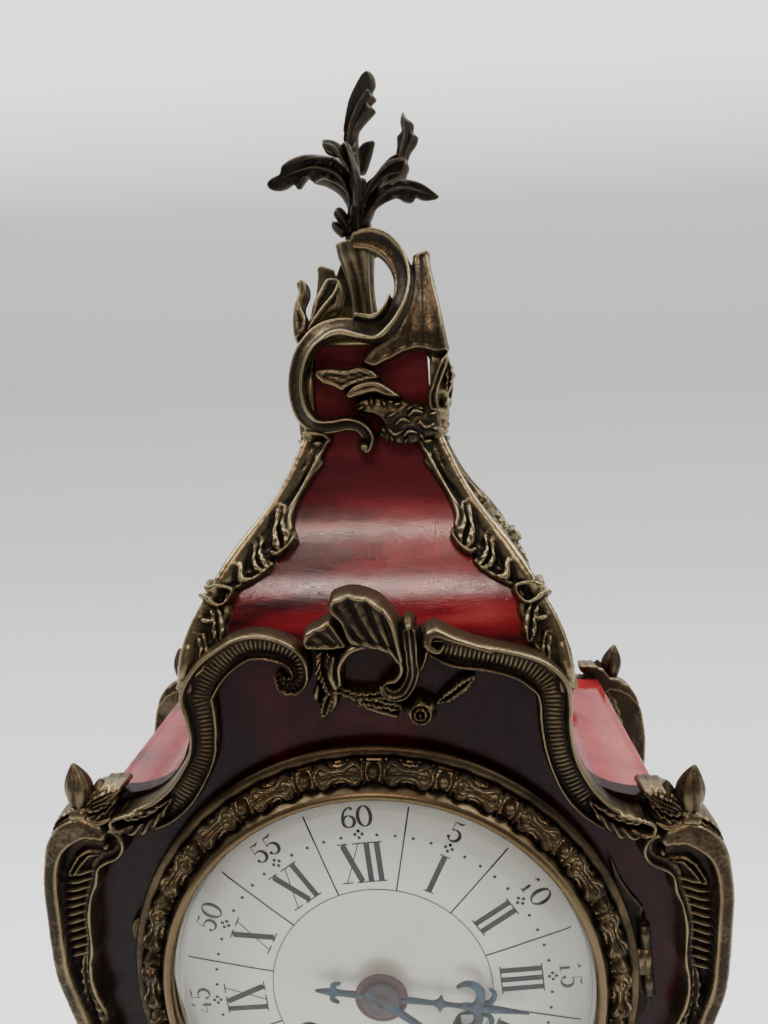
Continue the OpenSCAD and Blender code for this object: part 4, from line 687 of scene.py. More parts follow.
def lobed(points, lobes, dent=0.22):
    """Widths that swell and shrink along a leaf, as cut lobes do."""
    p = smooth_path(points, 0.5)
    t = np.linspace(0, 1, len(p))
    p[:, 2] *= 1 - dent * (0.5 + 0.5 * np.cos(2 * np.pi * (lobes * t)))
    return [tuple(q) for q in p]


# Veneered case

def strip_mesh(name, rows):
    """Grids of points as one mesh, their borders left sharp."""
    pts, faces, at = [], [], 0
    for g in rows:
        g = np.asarray(g)
        n, m = g.shape[:2]
        pts.append(g.reshape(-1, 3))
        i, j = np.meshgrid(np.arange(n - 1), np.arange(m - 1), indexing="ij")
        k = (at + i * m + j).ravel()
        faces.append(np.stack([k, k + m, k + m + 1, k + 1], 1))
        at += n * m
    return make_mesh(name, np.vstack(pts), np.vstack(faces))


ACROSS = 25
zs = np.concatenate([np.linspace(NECK_Z, ROOF_Z, 160), np.linspace(ROOF_Z + 0.3, CAP_Z, 24)])
w, d, _, _ = roof_at(zs)
cap = np.clip((zs - ROOF_Z) / (CAP_Z - ROOF_Z), 0, 1)
w, d = w - cap, d - cap
t = np.linspace(-1, 1, ACROSS)
Z = np.repeat(zs[:, None] + DIAL_Z, ACROSS, 1)
front = np.stack([w[:, None] * t, np.repeat(-d[:, None], ACROSS, 1), Z], 2)
right = np.stack([np.repeat(w[:, None], ACROSS, 1), d[:, None] * t, Z], 2)
flip = np.array([-1, -1, 1])
top, bottom = (np.stack([np.stack([w[k] * t, np.full(ACROSS, y), Z[k]], 1) for y in (a, -a)])
               for k, a in ((-1, -d[-1]), (0, d[0])))
roof = orient(joined("roof_veneer", [strip_mesh("roof_sides", [
    front, right, front * flip, right * flip, top, bottom])]))
dress(roof, SHELL, replaces=["roof"], shaded_and_worn=False)


def wall(p, s, reach=29.3):
    """A strip from front to back under the edge p, on the side s."""
    return np.stack([np.stack([s * p[:, 0], np.full(len(p), y), p[:, 1] + DIAL_Z], 1)
                     for y in np.linspace(-reach, reach, 14)])


outer = np.vstack([[(NECK_W, NECK_Z)], COVE, SIDE[1:]])
tn = np.gradient(outer, axis=0)
tn /= np.linalg.norm(tn, axis=1)[:, None]
inner = outer + 3.8 * np.stack([tn[:, 1], -tn[:, 0]], 1)
case = strip_mesh("case_veneer", [wall(p, s) for p in (outer, inner) for s in (1, -1)])
dress(case, SHELL, replaces=["case_shell"], shaded_and_worn=False)


# Arch frame and its crest

# How far the bands stand out from the case
BAND_RISE = 4.6
rel = Relief(-60, 60, 33, 92, 0.27)
right_band = [(56.2, 38.3, 2.2), (54, 38.2, 3.0), (51, 38.6, 3.3), (47.5, 40.3, 3.4), (44, 43.3, 3.6),
    (41.4, 46.8, 3.6), (39.1, 51.7, 3.4), (37.9, 56.2, 3.4), (37.3, 61, 3.5), (37.2, 64.6, 3.6),
    (36.4, 68.4, 3.9), (33.6, 71.2, 3.9), (30, 73, 3.5), (24.2, 74.5, 3.3), (17, 75.9, 3.7),
    (13.3, 76.9, 2.7)]
rel.stroke([(x, z, w, BAND_RISE) for x, z, w in right_band], lipped(-1), edge=0.6)
rel.fill([(37, 71.6), (41.1, 67.2), (40.6, 64.6), (37.6, 67.4)], 3.4, smooth=False)
rel.rod([(24, 76.6, 0.9, 4.9), (17, 79, 1.2, 5.2), (12.6, 80.6, 1.6, 5.6), (11.4, 78.2, 1.5, 5.6),
    (13.4, 76.6, 1.1, 5.2), (14.6, 77.8, 0.8, 5)], 0.9)
left_band = [(-55.6, 38.4, 2.4), (-54, 38.3, 3.2), (-50, 39, 3.7), (-46, 40.8, 3.8), (-42, 44.3, 3.6),
    (-38.8, 49, 3.3), (-36.7, 53.5, 3.1), (-36.2, 58.2, 3.1), (-36.6, 63, 3.5), (-37, 66.6, 3.8),
    (-34.4, 71.2, 3.8), (-30.6, 74.7, 3.4), (-26, 77.2, 3.3), (-20.5, 77, 3.3), (-16, 74.6, 2.8),
    (-14.9, 70.9, 2.2), (-16.4, 68.5, 1.7), (-18.6, 68.8, 1.3), (-19.6, 70.4, 0.9)]
rel.stroke([(x, z, w, BAND_RISE) for x, z, w in left_band], lipped(1), edge=0.6)
rel.fill([(-37, 72), (-41.1, 68.2), (-40.4, 65.4), (-37.4, 67.6)], 3.4, smooth=False)
# Leaves wrapped round the lower ends
for s in (1, -1):
    rel.leaf([(s * 44.6, 42.8, 0.8, 4.8), (s * 48.6, 39.6, 2.9, 5.2), (s * 52.6, 38.1, 3.6, 5.4),
        (s * 56, 38.4, 3.2, 5.0), (s * 57.6, 39.2, 2.2, 4.2)], 3, 0.12, vein=2.2, cup=0.2, depth=0.16,
        edge=1.0)
    rel.rod([(s * 50, 41.2, 0.5, 5.4), (s * 54, 40.6, 0.7, 6), (s * 56.8, 39.4, 0.8, 6),
        (s * 56.4, 37.2, 0.8, 5.8), (s * 54.4, 37.4, 0.6, 5.6)], 0.7)
# Shells of the crest
rel.fill([(-8.5, 86.5), (-7.7, 88.4), (-5.3, 89.4), (-3.3, 89.6), (-0.5, 89), (2, 87.7), (4, 85.6),
    (5.6, 83.2), (6.6, 79), (7, 74.6), (5, 74), (3.4, 76.2), (-0.6, 77.6), (-4, 78.4), (-5.2, 80.2),
    (-6.2, 83), (-8.0, 84.9)], fluted((8.4, 70), 40, 5.6, 0.8, 1.1, 0.012), edge=1.0)
rel.fill([(-14.2, 78.8), (-13.5, 81), (-11.2, 82.2), (-8.7, 83.4), (-7.2, 82.8), (-5.5, 80), (-4.3, 77.3),
    (-8.7, 76.6), (-11.6, 76.8), (-13.4, 77)], fluted((-3.5, 74.5), 22, 4.4, 0.7, 0.9), edge=0.9)
# Ring round the opening
rel.rod([(-6.6, 69.4, 0.7, 4.4), (-6.5, 73.6, 1.0, 5.2), (-4, 77.2, 1.1, 5.8), (0.2, 78.2, 1.1, 6.0),
    (4.2, 76.8, 1.1, 5.8), (6.2, 73.4, 1.0, 5.4), (4.8, 70.6, 1.0, 5.0), (2.6, 70.2, 0.9, 4.6)])
rel.leaf([(-7, 67.8, 1.2, 3.6), (-3, 66.6, 1.3, 4.0), (1.6, 66.8, 1.3, 4.0), (5.6, 67.4, 1.2, 3.6)],
    vein=1.6)
# Straps to the right of the shell
rel.stroke([(7.6, 82.6, 1.3, 5.4), (7.9, 79.4, 1.8, 6.2), (8.2, 75.4, 1.6, 6.0), (8.2, 71.4, 1.7, 5.8),
    (6.2, 67.8, 1.8, 5.6), (3.4, 67.2, 1.5, 5.2), (2.2, 69.2, 1.1, 5.0), (3.4, 70.2, 0.8, 4.8)],
    ridged(3, 0.25))
rel.stroke([(10.9, 80.2, 1.1, 4.8), (11.2, 76.6, 1.1, 5.0), (10.4, 73.6, 1.0, 4.4), (8.9, 70.8, 0.7, 4)],
    ridged(2), edge=0.7)
rel.dot(7.7, 82.2, 1.6, 6.4)
# Leaf bunch to the left of the opening and hanging sprig
rel.leaf([(-9.4, 77.2, 1.0, 3.4), (-9.9, 73.6, 2.5, 4.6), (-9.2, 70, 2.2, 4.4), (-8.4, 66.4, 1.2, 3.2)], 3,
    vein=1.3)
rel.rod([(-7.6, 75.4, 0.8, 4.8), (-8.3, 72, 1.1, 5.4), (-7.4, 69, 1.0, 5.0)])
rel.leaf([(-8.2, 68, 0.8, 2.8), (-9.6, 65, 1.7, 3.2), (-10.4, 62.2, 1.2, 2.4), (-10.4, 60.8, 0.5, 1.6)], 2,
    vein=1.2, edge=0.7)
rel.rod([(-7.6, 67.6, 0.6, 2.8), (-8.1, 64.6, 0.9, 2.8), (-8.9, 62.6, 0.6, 2)], 0.6)
rel.rod([(-11.4, 68.6, 0.5, 2.8), (-11.9, 66.4, 0.9, 2.8), (-11.7, 64.8, 0.5, 2)], 0.6)
# Garland with its rose and leaf
rel.leaf([(-5.8, 67, 0.8, 3), (-2.6, 65.8, 1.7, 3.8), (1.4, 64.8, 1.6, 3.8), (5.4, 63.8, 1.3, 3.4)], 4, 0.3,
    vein=1.1)
rel.rod([(-3.4, 64.4, 0.5, 2.4), (0.6, 63.2, 0.8, 2.8), (4.6, 61.9, 0.7, 2.6)], 0.6)
for k in range(5):
    a = 2 * math.pi * k / 5 + 0.5
    rel.dot(9.7 + 2.2 * math.cos(a), 63.2 + 2.1 * math.sin(a), 1.75, 4.2)
around = np.linspace(0, 2 * math.pi, 14)
for r, h in ((2.1, 4.8), (1.15, 5.2)):
    rel.rod([(9.7 + r * math.cos(a), 63.2 + r * math.sin(a), 0.42, h) for a in around], 0.5, 0.4)
rel.dot(9.7, 63.2, 0.75, 5.4)
rel.leaf([(12.9, 64.6, 0.5, 2.8), (15.6, 66.4, 1.5, 3.6), (18.4, 68.6, 1.6, 3.6), (20.6, 70, 0.7, 2.6)], 2,
    0.15, vein=1.1, edge=0.7)
# The front face is open inside the ring
hole = smooth_path([(-5.2, 72.6), (-3.4, 75.6), (0, 76.8), (3.4, 75.4), (4.9, 72.8), (3.2, 70.6), (0, 68.4),
    (-3, 68.2), (-5, 70), (-5.2, 72.6)], 0.3)
dist, _, _, _ = near_path(hole[:, :2], rel.X.ravel(), rel.Z.ravel())
hit = inside_poly(hole, rel.X.ravel(), rel.Z.ravel())
rel.sd = np.minimum(rel.sd, np.where(hit, -dist, dist).reshape(rel.X.shape))
arch = rel.mesh("arch_mount_bronze", on_face)
dress(arch, BRONZE_CASE, replaces=["arch_mount"])

rel = Relief(-60, 60, 33, 82, 0.35)
for s in (1, -1):
    rel.stroke([(s * x, z, w, BAND_RISE) for x, z, w in right_band[:13]] + [(s * 20, 76.4, 3.2, BAND_RISE),
        (s * 8, 77, 3.1, BAND_RISE), (0, 77.2, 3.1, BAND_RISE)], lipped(-s), edge=0.6)
    rel.leaf([(s * 44.6, 42.8, 0.8, 4.8), (s * 50, 39.2, 3.2, 5.2), (s * 57.4, 39, 2.4, 4.4)], 3, 0.12,
        vein=2.2, edge=1.0)
rel.fill([(-9, 75), (-7, 82), (0, 85.6), (7, 82), (9, 75), (0, 72)], fluted((0, 70), 14, 4.6), edge=1)
rear_relief = rel.mesh("rear_arch_relief", on_face)
rear = mirrored(rear_relief, "rear_arch_bronze", y=True)
bpy.data.objects.remove(rear_relief)
dress(rear, BRONZE_DARK, replaces=["rear_arch_mount"])


# Corner mounts: a broad band that hooks round a leaf web, with a fluted bud over it

def corner_relief(band, web, ribs_from, ribs_to, leaf_low, pin):
    rel = Relief(42, 78, -68, 44, 0.27)
    rel.fill(web, lambda x, z, sd: 2.0 + 0.9 * bump(sd, 1.1, 1.1))
    # Ribs across the hollow between the web's edge and the band
    n = 11
    for k in range(n):
        t = k / (n - 1)
        x0 = ribs_from[0] + (ribs_to[0] - ribs_from[0]) * t + 1.6 * math.sin(math.pi * t)
        z0 = ribs_from[1] + (ribs_to[1] - ribs_from[1]) * t
        rel.rod([(x0, z0 + 1.0, 0.55, 3.0), (x0 + 3.4, z0 + 0.1, 0.95, 3.4),
            (x0 + 6.2, z0 - 0.3, 0.8, 3.0)], 0.9)
    edge_pts = [(x, z, 0.75 + 0.25 * math.sin(3 * i), 4.4) for i, (x, z) in enumerate(web[:len(web) // 2])]
    rel.rod(edge_pts, 0.8, 0.4)
    for leaf in leaf_low:
        rel.leaf(leaf, 4, 0.15, vein=2.4, cup=0.25, depth=0.14, edge=0.9)
    rel.stroke(band, lambda u, v, w: 0.86 + 0.1 * bump(v, -0.2, 0.9) + 0.07 * bump(v, -0.86, 0.14)
               + 0.05 * bump(v, 0.86, 0.14), edge=0.7)
    rel.dot(pin[0], pin[1], 1.3, 4.8)
    return rel


CORNER_RISE = 6.0
path = [(59.4, 36.0, 1.4), (61, 36.9, 2.1), (63.6, 37.5, 2.5), (67, 36.1, 2.7), (69.9, 33, 2.4),
    (71.3, 28.8, 2.0), (72, 23.5, 2.0), (72, 16, 2.0), (71.9, 8, 2.0), (71.4, 1.5, 2.0), (69.9, -4.2, 2.0),
    (66.4, -16, 1.9), (62, -28, 1.8), (58.6, -39, 1.6), (54.4, -50, 1.3), (50.6, -60, 0.9),
    (49.2, -65, 0.5)]
band = [(x, z, w, CORNER_RISE) for x, z, w in path]
web = [(60, 36.5), (57.4, 36.2), (55.8, 34.6), (55.5, 32), (57, 29.9), (59.5, 28.8), (61.5, 27.1),
    (62.2, 23.7), (63.6, 20.4), (64.6, 15.4), (64.6, 10.4), (64.8, 6.4), (65.6, 2.4), (65.2, -3),
    (63.4, -8), (62.2, -16), (59, -26), (56.2, -34), (52.6, -46), (49.6, -56), (48.6, -62), (51, -60),
    (56, -48), (60.6, -36), (64, -26), (68, -12), (71.6, 0), (72.4, 16), (72, 26), (69, 34), (64, 37.4)]
leaf_low = [[(66.4, 8, 0.5, 3.6), (67.2, 0, 1.7, 4.2), (65.6, -10, 2.0, 4.4), (61.6, -22, 1.8, 4.4),
             (58, -32, 1.2, 4)],
            [(57.6, -30, 0.6, 3.8), (57.4, -40, 1.6, 4.2), (53.4, -51, 1.4, 4), (49.8, -61, 0.7, 3.2)],
            [(60.6, 30.4, 0.5, 3.4), (64.6, 29.8, 1.7, 4.4), (68, 25.4, 1.4, 4.2)]]
rel = corner_relief(band, web, (62.6, 25.4), (65.4, 5.2), leaf_low, (59, 32.7))
CORNER = rel.mesh("corner_relief", on_face, back=2.2)


def bud(name, base, height, radius, lean, ribs):
    """A closed flower bud with overlapping sepals."""
    rows = []
    m, n = 30, 40
    a = np.arange(n) * 2 * np.pi / n
    for t in np.linspace(0, 1, m):
        swell = 0.5 + 0.5 * math.sin(math.pi * min(1, t * 0.95 + 0.08))
        r = radius * swell * (1 - t ** 4) ** 0.55
        k = 1 + 0.14 * np.abs(np.cos(ribs * a / 2 + 2.0 * t)) ** 0.6 * (1 - t * 0.5)
        rows.append(np.stack([base[0] + lean[0] * t * t + r * k * np.cos(a),
            base[1] + lean[1] * t * t + r * k * np.sin(a), np.full(n, base[2] + height * t)], 1))
    return orient(make_mesh(name, np.vstack(rows), ring_faces(m, n) + end_faces(m, n)))


def corner_top():
    """Buds, bracket and shoulder leaves on top of a corner mount."""
    parts = [bud("bud", (64.4, -35.6, DIAL_Z + 41.2), 10.2, 2.75, (1.0, 0), 7),
        bud("bud_small", (60.2, -34.8, DIAL_Z + 42.6), 4.6, 1.7, (0.2, 0.4), 5),
        lathe("cup", [(0.3, 0), (2.2, 0.2), (2.9, 1.2), (2.4, 2.4), (1.6, 3.2), (0.4, 3.4)], 32,
            lambda a, t: 1 + 0.08 * np.cos(6 * a), (64.5, -35.6, DIAL_Z + 38.6))]
    rel = Relief(53, 73, 33, 49, 0.27)
    rel.stroke(lobed([(55.4, 45.6, 1.0, 4.6), (58.2, 44.4, 2.2, 5.4), (61, 43, 2.0, 5.2),
        (62.8, 41, 1.0, 4)], 4, 0.14), ridged(5, 0.3))
    rel.leaf([(57.2, 42, 0.8, 4), (60.4, 40.6, 1.9, 5.4), (64.4, 40.8, 1.8, 5.4), (68.8, 38.6, 1.2, 4.8),
        (71.4, 35, 0.5, 3.6)], 5, 0.16, vein=1.6)
    rel.rod([(57, 39.4, 0.8, 4), (60, 38.6, 1.3, 5.2), (62.2, 39.6, 1.0, 5)])
    parts.append(rel.mesh("bracket", on_face, back=2.6))
    return parts


def flank(z0, z1, reach, lobes, h):
    """Leaf on the side of the case behind the band."""
    rel = Relief(-34.2, -20, z0, z1, 0.4)
    pts = [(-32.4 + 1.6 * math.sin(math.pi * t), z1 - 2 - (z1 - z0 - 4) * t,
        reach * math.sin(math.pi * min(1, t * 0.9 + 0.1)) ** 0.7 + 0.6, h) for t in np.linspace(0, 1, 16)]
    rel.leaf(pts, lobes, 0.3, vein=2.6, edge=0.9)

    def place(y, z, hh):
        return np.stack([side_at(z) + 0.05 + hh, y, z + DIAL_Z], 1)
    return rel.mesh("flank", place)


corner = joined("corner_mount_fr_bronze", [CORNER] + corner_top() + [flank(-60, 40, 3.4, 7, 2.6)])
corners = [("fr", corner)]
for place, x, y in (("fl", True, False), ("rr", False, True), ("rl", True, True)):
    corners.append((place, mirrored(corner, "corner_mount_" + place + "_bronze", x=x, y=y)))
for place, ob in corners:
    dress(ob, BRONZE_CASE, replaces=["corner_mount_" + place])


# Roof corner mounts: leafy plates folded over the edges

rel = Relief(-11, 9, 65.5, 120.5, 0.25)
plate = [(0.5, 119.6), (-2.6, 119.4), (-4.4, 117.6), (-3.6, 115.4), (-2.6, 114.2), (-4.2, 112.4),
    (-3.4, 109.6), (-2.8, 104), (-3.6, 101), (-5.2, 99.2), (-7.6, 97.2), (-8.6, 94.8), (-7.8, 93),
    (-5.8, 92.8), (-7.4, 91.6), (-6.6, 89.6), (-4.6, 87.6), (-2.6, 86.2), (-3.4, 84), (-4.6, 82),
    (-4.8, 79.8), (-5.9, 78), (-4.8, 76.2), (-3.8, 74), (-3.2, 71.6), (-1.6, 69.4), (-0.6, 66.8), (1, 66.8),
    (2.4, 69.4), (2.9, 72.6), (4.7, 75.6), (5.2, 78.4), (3.7, 81), (4.3, 83.6), (3.0, 86.4), (4.6, 88.6),
    (6.8, 90.8), (7.6, 93.6), (6.8, 96.6), (4.8, 99.2), (3.4, 101.8), (2.9, 106), (3.4, 110.6),
    (4.4, 112.8), (3.4, 115), (4.4, 117.6), (2.8, 119.4)]
rel.fill(plate, lambda x, z, sd: 1.5 + 0.55 * bump(sd, 0.7, 0.7) + 0.3 * np.cos(2.2 * sd + 0.35 * z))
spine = [(0, 67.4, 0.8, 2.0), (0, 72, 1.3, 2.7), (0.1, 78, 1.2, 2.9), (0, 84, 1.1, 2.8),
    (-0.1, 90, 1.3, 3.2), (0, 96, 1.3, 3.2), (0.2, 102, 1.1, 2.8), (0.1, 110, 1.0, 2.7),
    (0, 118.6, 0.9, 2.4)]
rel.rod(spine, 1.0, 0.45)
for s in (-1, 1):
    # Long flat flutes, then two turned leaves, a curl and a hanging leaf
    rel.rod([(s * 3.2, 117, 0.5, 2.2), (s * 2.4, 111, 0.8, 2.4), (s * 2.2, 105, 0.7, 2.4),
        (s * 3.4, 100.6, 0.7, 2.8), (s * 5.6, 98, 0.6, 2.8)], 0.7)
    rel.leaf([(s * 0.8, 102.6, 0.6, 2.8), (s * 2.6, 98.6, 1.4, 3.4), (s * 5.2, 96.2, 1.9, 3.8),
        (s * 7.0, 94.4, 1.3, 3.4)], vein=2.6, depth=0.1, edge=1.0)
    rel.rod([(s * 7.8, 96.4, 0.45, 3.2), (s * 8.0, 94.4, 0.55, 3.4), (s * 6.8, 93.2, 0.5, 3.2),
        (s * 5.2, 93.6, 0.4, 3)], 0.6)
    rel.leaf([(s * 0.9, 96, 0.6, 2.8), (s * 2.6, 93, 1.2, 3.4), (s * 4.8, 91.2, 1.4, 3.6),
        (s * 6.4, 90.4, 0.8, 3.0)], vein=2.2, depth=0.1, edge=0.9)
    rel.rod([(s * 1.0, 91, 0.5, 2.8), (s * 2.6, 88.6, 1.0, 3.2), (s * 4.4, 88.4, 0.7, 3.0)])
    curl = [(s * (1.5 + 1.35 * math.cos(a)), 85.2 + 1.6 * math.sin(a), 0.5, 3.9)
            for a in np.linspace(-2.6, 3.0, 12)]
    rel.rod(curl, 0.6, 0.4)
    rel.leaf([(s * 0.8, 83.4, 0.6, 2.8), (s * 2.4, 81, 1.3, 3.2), (s * 4.0, 78.4, 1.5, 3.4),
        (s * 4.8, 76.8, 0.8, 2.8)], vein=2.2, depth=0.1, edge=0.9)
    rel.leaf([(s * 0.9, 78, 0.6, 2.8), (s * 2.2, 75, 1.1, 3.0), (s * 2.6, 72.2, 0.9, 2.8),
        (s * 1.6, 70.2, 0.4, 2.2)], vein=1.8, depth=0.1)
    rel.carve([(s * 1.7, 117.6, 0.25), (s * 1.4, 110, 0.35), (s * 1.3, 103.4, 0.3)], 0.7, 0.5)
rel.dot(-1.9, 116, 1.15, 3.6)
rel.dot(1.9, 116, 1.15, 3.6)
rel.dot(-1.2, 80.6, 0.9, 3.9)
ROOF_MOUNT = rel.mesh("roof_relief", on_roof_corner)
for place, x, y in (("fr", False, False), ("fl", True, False), ("rr", False, True), ("rl", True, True)):
    ob = mirrored(ROOF_MOUNT, "roof_mount_" + place + "_bronze", x=x, y=y)
    dress(ob, BRONZE, replaces=["roof_mount_" + place])
bpy.data.objects.remove(ROOF_MOUNT)


def facing(ob):
    """Stands a piece turned about z up to face the front, about the dial centre."""
    for v in ob.data.vertices:
        x, y, z = v.co / MM
        v.co = Vector((x, FACE_Y - z, y + DIAL_Z)) * MM
    return orient(ob)


# Bezel: turned ring with hinge ear and tab, and an ornament of equal repeats on a circle

# Radius of the ring's edge, the number of repeats and the radius they lie on, and the axis of the hinge
RIM = 55.7
REPEATS = 22
HUSK_R = 51
HINGE = (57.4, FACE_Y - 1.65, DIAL_Z)
prof = [(46, 7.3), (46, 7.6), (46.3, 7.85), (46.8, 8.0), (47.4, 7.8), (47.9, 7.1), (48.3, 6.4), (48.7, 5.6),
    (49.1, 4.7), (50.8, 3.9), (52.6, 3.3), (52.9, 2.9), (53.1, 2.75)]
prof += [(RIM - 1.35 + 1.42 * math.cos(a), 2.3 + 1.3 * math.sin(a))
         for a in np.linspace(math.radians(160), math.radians(-62), 22)]
prof += [(54.9, 1.2), (48.4, 1.2), (48.4, 5.2), (47.4, 5.2), (47.4, 7.3), (46, 7.3)]
ring = facing(lathe("ring", prof, 300))
ear = lathe("ear", [(0.85, -3), (1.3, -3), (1.3, 3), (0.85, 3), (0.85, -3)], 40, None, HINGE)
tab = Relief(-59, -53, -5, 5, 0.2)
tab.fill([(-54.6, -3.4), (-56.6, -2.6), (-57.5, 0), (-56.6, 2.6), (-54.6, 3.4)], 2.4, edge=0.7)
web = slab("web", [(x, FACE_Y - y) for x, y in ((54.2, 1.3), (57.2, 1.3), (57.2, 2.9), (54.2, 2.9))],
           DIAL_Z - 3, DIAL_Z + 3)
tabm = tab.mesh("tab", on_face, back=-1.2)
# The tab is turned 18 degrees up the left side
c, s = math.cos(math.radians(-18)), math.sin(math.radians(-18))
for v in tabm.data.vertices:
    x, z = v.co.x, v.co.z - DIAL_Z * MM
    v.co.x, v.co.z = x * c - z * s, x * s + z * c + DIAL_Z * MM
bezel = joined("bezel_ring_bronze", [ring, ear, web, tabm])
turn_with_drum(bezel)
dress(bezel, BEZEL_RING, "bezel", ["bezel_ring"])

# One repeat, unrolled: x along the ring, z across it
PITCH = 2 * math.pi * HUSK_R / REPEATS
rel = Relief(-PITCH / 2 - 1, PITCH / 2 + 1, -2.6, 2.9, 0.13)
end = PITCH / 2 + 0.2
rel.fill([(-end, -1.9), (end, -1.9), (end, 1.9), (-end, 1.9)], 0.45, edge=0.4, smooth=False)
for s in (-1, 1):
    x0 = s * PITCH / 2
    rel.dot(x0, 0, 1.75, 3.0)
    rel.rod([(x0 - s * 1.9, -1.9, 0.45, 1.5), (x0 - s * 2.05, 0, 0.6, 1.5), (x0 - s * 1.9, 1.9, 0.45, 1.5)],
        0.5)
for s in (-1, 1):
    rel.rod([(s * 0.1, 0, 0.95, 1.7), (s * 1.3, 0, 1.0, 1.9), (s * 2.5, 0, 1.75, 2.7),
        (s * 3.6, 0, 1.95, 2.9), (s * 4.5, 0, 1.3, 2.0), (s * 5.0, 0, 0.6, 1.4)], 1.0, 0.35)
    for t in (-1, 1):
        rel.rod([(s * 0.3, t * 0.9, 0.4, 1.5), (s * 1.6, t * 1.15, 0.5, 1.8), (s * 2.9, t * 2.0, 0.55, 2.0),
            (s * 4.1, t * 1.9, 0.5, 1.9), (s * 4.6, t * 1.1, 0.4, 1.7)], 0.5)
        rel.dot(s * 1.2, t * 2.05, 0.5, 1.1)
rel.carve([(-3.9, 0.1, 0.25), (-2.4, 0, 0.42), (0, 0, 0.34), (2.4, 0, 0.42), (3.9, -0.1, 0.25)], 0.85, 0.4)


def on_bezel(x, z, h):
    """A placing on the ring's sloping front, about the dial's own axis."""
    a = x / HUSK_R
    # Radius on the slope, how far that stands before the case's front, and how far the relief leans out
    r = 50.85 + z
    p = 4.45 - 0.42 * z
    tilt = 0.3
    rr, pp = r + h * math.sin(tilt), p + h * math.cos(tilt)
    return np.stack([rr * np.cos(a), FACE_Y - pp, rr * np.sin(a)], 1)


REPEAT = wear_and_shading(rel.mesh("bezel_repeat", on_bezel, back=0.5, grain=0.02), 1.5)


def scattered(name, unit, points, turns, mat):
    """Instances of a unit on points, each turned, made by Geometry Nodes and left as a plain mesh."""
    holder = make_mesh(name + "_points", points, [])
    at = holder.data.attributes.new("turn", "FLOAT_VECTOR", "POINT")
    at.data.foreach_set("vector", np.array(turns, np.float32).ravel())
    tree = bpy.data.node_groups.new(name + "_nodes", "GeometryNodeTree")
    for label, way, kind in (("Points", "INPUT", "Geometry"), ("Unit", "INPUT", "Object"),
                             ("Finish", "INPUT", "Material"), ("Pieces", "OUTPUT", "Geometry")):
        tree.interface.new_socket(label, in_out=way, socket_type="NodeSocket" + kind)
    gin, gout, info, turn, inst, real, fin = (tree.nodes.new(kind) for kind in (
        "NodeGroupInput", "NodeGroupOutput", "GeometryNodeObjectInfo", "GeometryNodeInputNamedAttribute",
        "GeometryNodeInstanceOnPoints", "GeometryNodeRealizeInstances", "GeometryNodeSetMaterial"))
    turn.data_type = "FLOAT_VECTOR"
    turn.inputs["Name"].default_value = "turn"
    for out, sock in ((gin.outputs["Unit"], info.inputs["Object"]),
            (gin.outputs["Points"], inst.inputs["Points"]),
            (info.outputs["Geometry"], inst.inputs["Instance"]),
            (turn.outputs["Attribute"], inst.inputs["Rotation"]),
            (inst.outputs["Instances"], real.inputs[0]), (real.outputs[0], fin.inputs["Geometry"]),
            (gin.outputs["Finish"], fin.inputs["Material"]), (fin.outputs[0], gout.inputs[0])):
        tree.links.new(out, sock)
    mod = holder.modifiers.new("scatter", "NODES")
    mod.node_group = tree
    ids = {i.name: i.identifier for i in tree.interface.items_tree if i.in_out == "INPUT"}
    mod[ids["Unit"]] = unit
    mod[ids["Finish"]] = mat
    bpy.context.view_layer.update()
    dg = bpy.context.evaluated_depsgraph_get()
    me = bpy.data.meshes.new_from_object(holder.evaluated_get(dg))
    holder.modifiers.clear()
    out = bpy.data.objects.new(name, me)
    bpy.context.collection.objects.link(out)
    bpy.data.objects.remove(holder)
    bpy.data.objects.remove(unit)
    return smooth(out)


turns = [(0, -(k + 0.15) * 2 * math.pi / REPEATS - TURN - 0.5 * PITCH / HUSK_R, 0) for k in range(REPEATS)]
ornament = scattered("bezel_husks_bronze", REPEAT, [(0, 0, DIAL_Z)] * REPEATS, turns, BEZEL)
dress(ornament, BEZEL, "bezel", ["bezel_ornament"])

# Hinge leaf with a scalloped edge and its knuckles
rel = Relief(50, 61, -26, 26, 0.25)
half = [(51.4, 25.6), (52.6, 23), (53.6, 19.4), (55.4, 15.6), (56.8, 13.6), (58.0, 11.4), (57.4, 9.4),
    (58.6, 7.6), (57.4, 5.8), (58.4, 4.4)]
rel.fill(half + [(56, 3.6), (54, 3.4), (53.6, 0), (54, -3.4), (56, -3.6)] + [(x, -z) for x, z in half[::-1]]
         + [(52.6, -14), (53.2, 0), (52.6, 14)], 0.95, edge=0.35, smooth=False)
leaf = rel.mesh("leaf", on_face, grain=0.02)
knuckles = [lathe("knuckle", [(0.82, z0), (1.3, z0), (1.3, z0 + 5.2), (0.82, z0 + 5.2), (0.82, z0)], 32,
    None, HINGE) for z0 in (3.25, -8.45)]
hinge = joined("bezel_hinge_bronze", [leaf] + knuckles)
turn_with_drum(hinge)
dress(hinge, BRONZE_DARK, "case", ["bezel_hinge"])


# Dial marks: flat pen strokes a little over the enamel

def dial_p(r):
    """How far the domed enamel stands before the case's front at a radius."""
    return np.interp(r, [0, 30.1, 42.1, 46.1], [5.0, 4.95, 4.65, 4.1])


# Strokes of each ink: points of both edges, and how many points long
INKED = {"dark": [], "faint": []}


def on_dial(pts, lift):
    pts = np.asarray(pts, float)
    return on_drum(np.stack([pts[:, 0], FACE_Y - dial_p(np.hypot(pts[:, 0], pts[:, 1])) - lift,
        pts[:, 1] + DIAL_Z], 1))


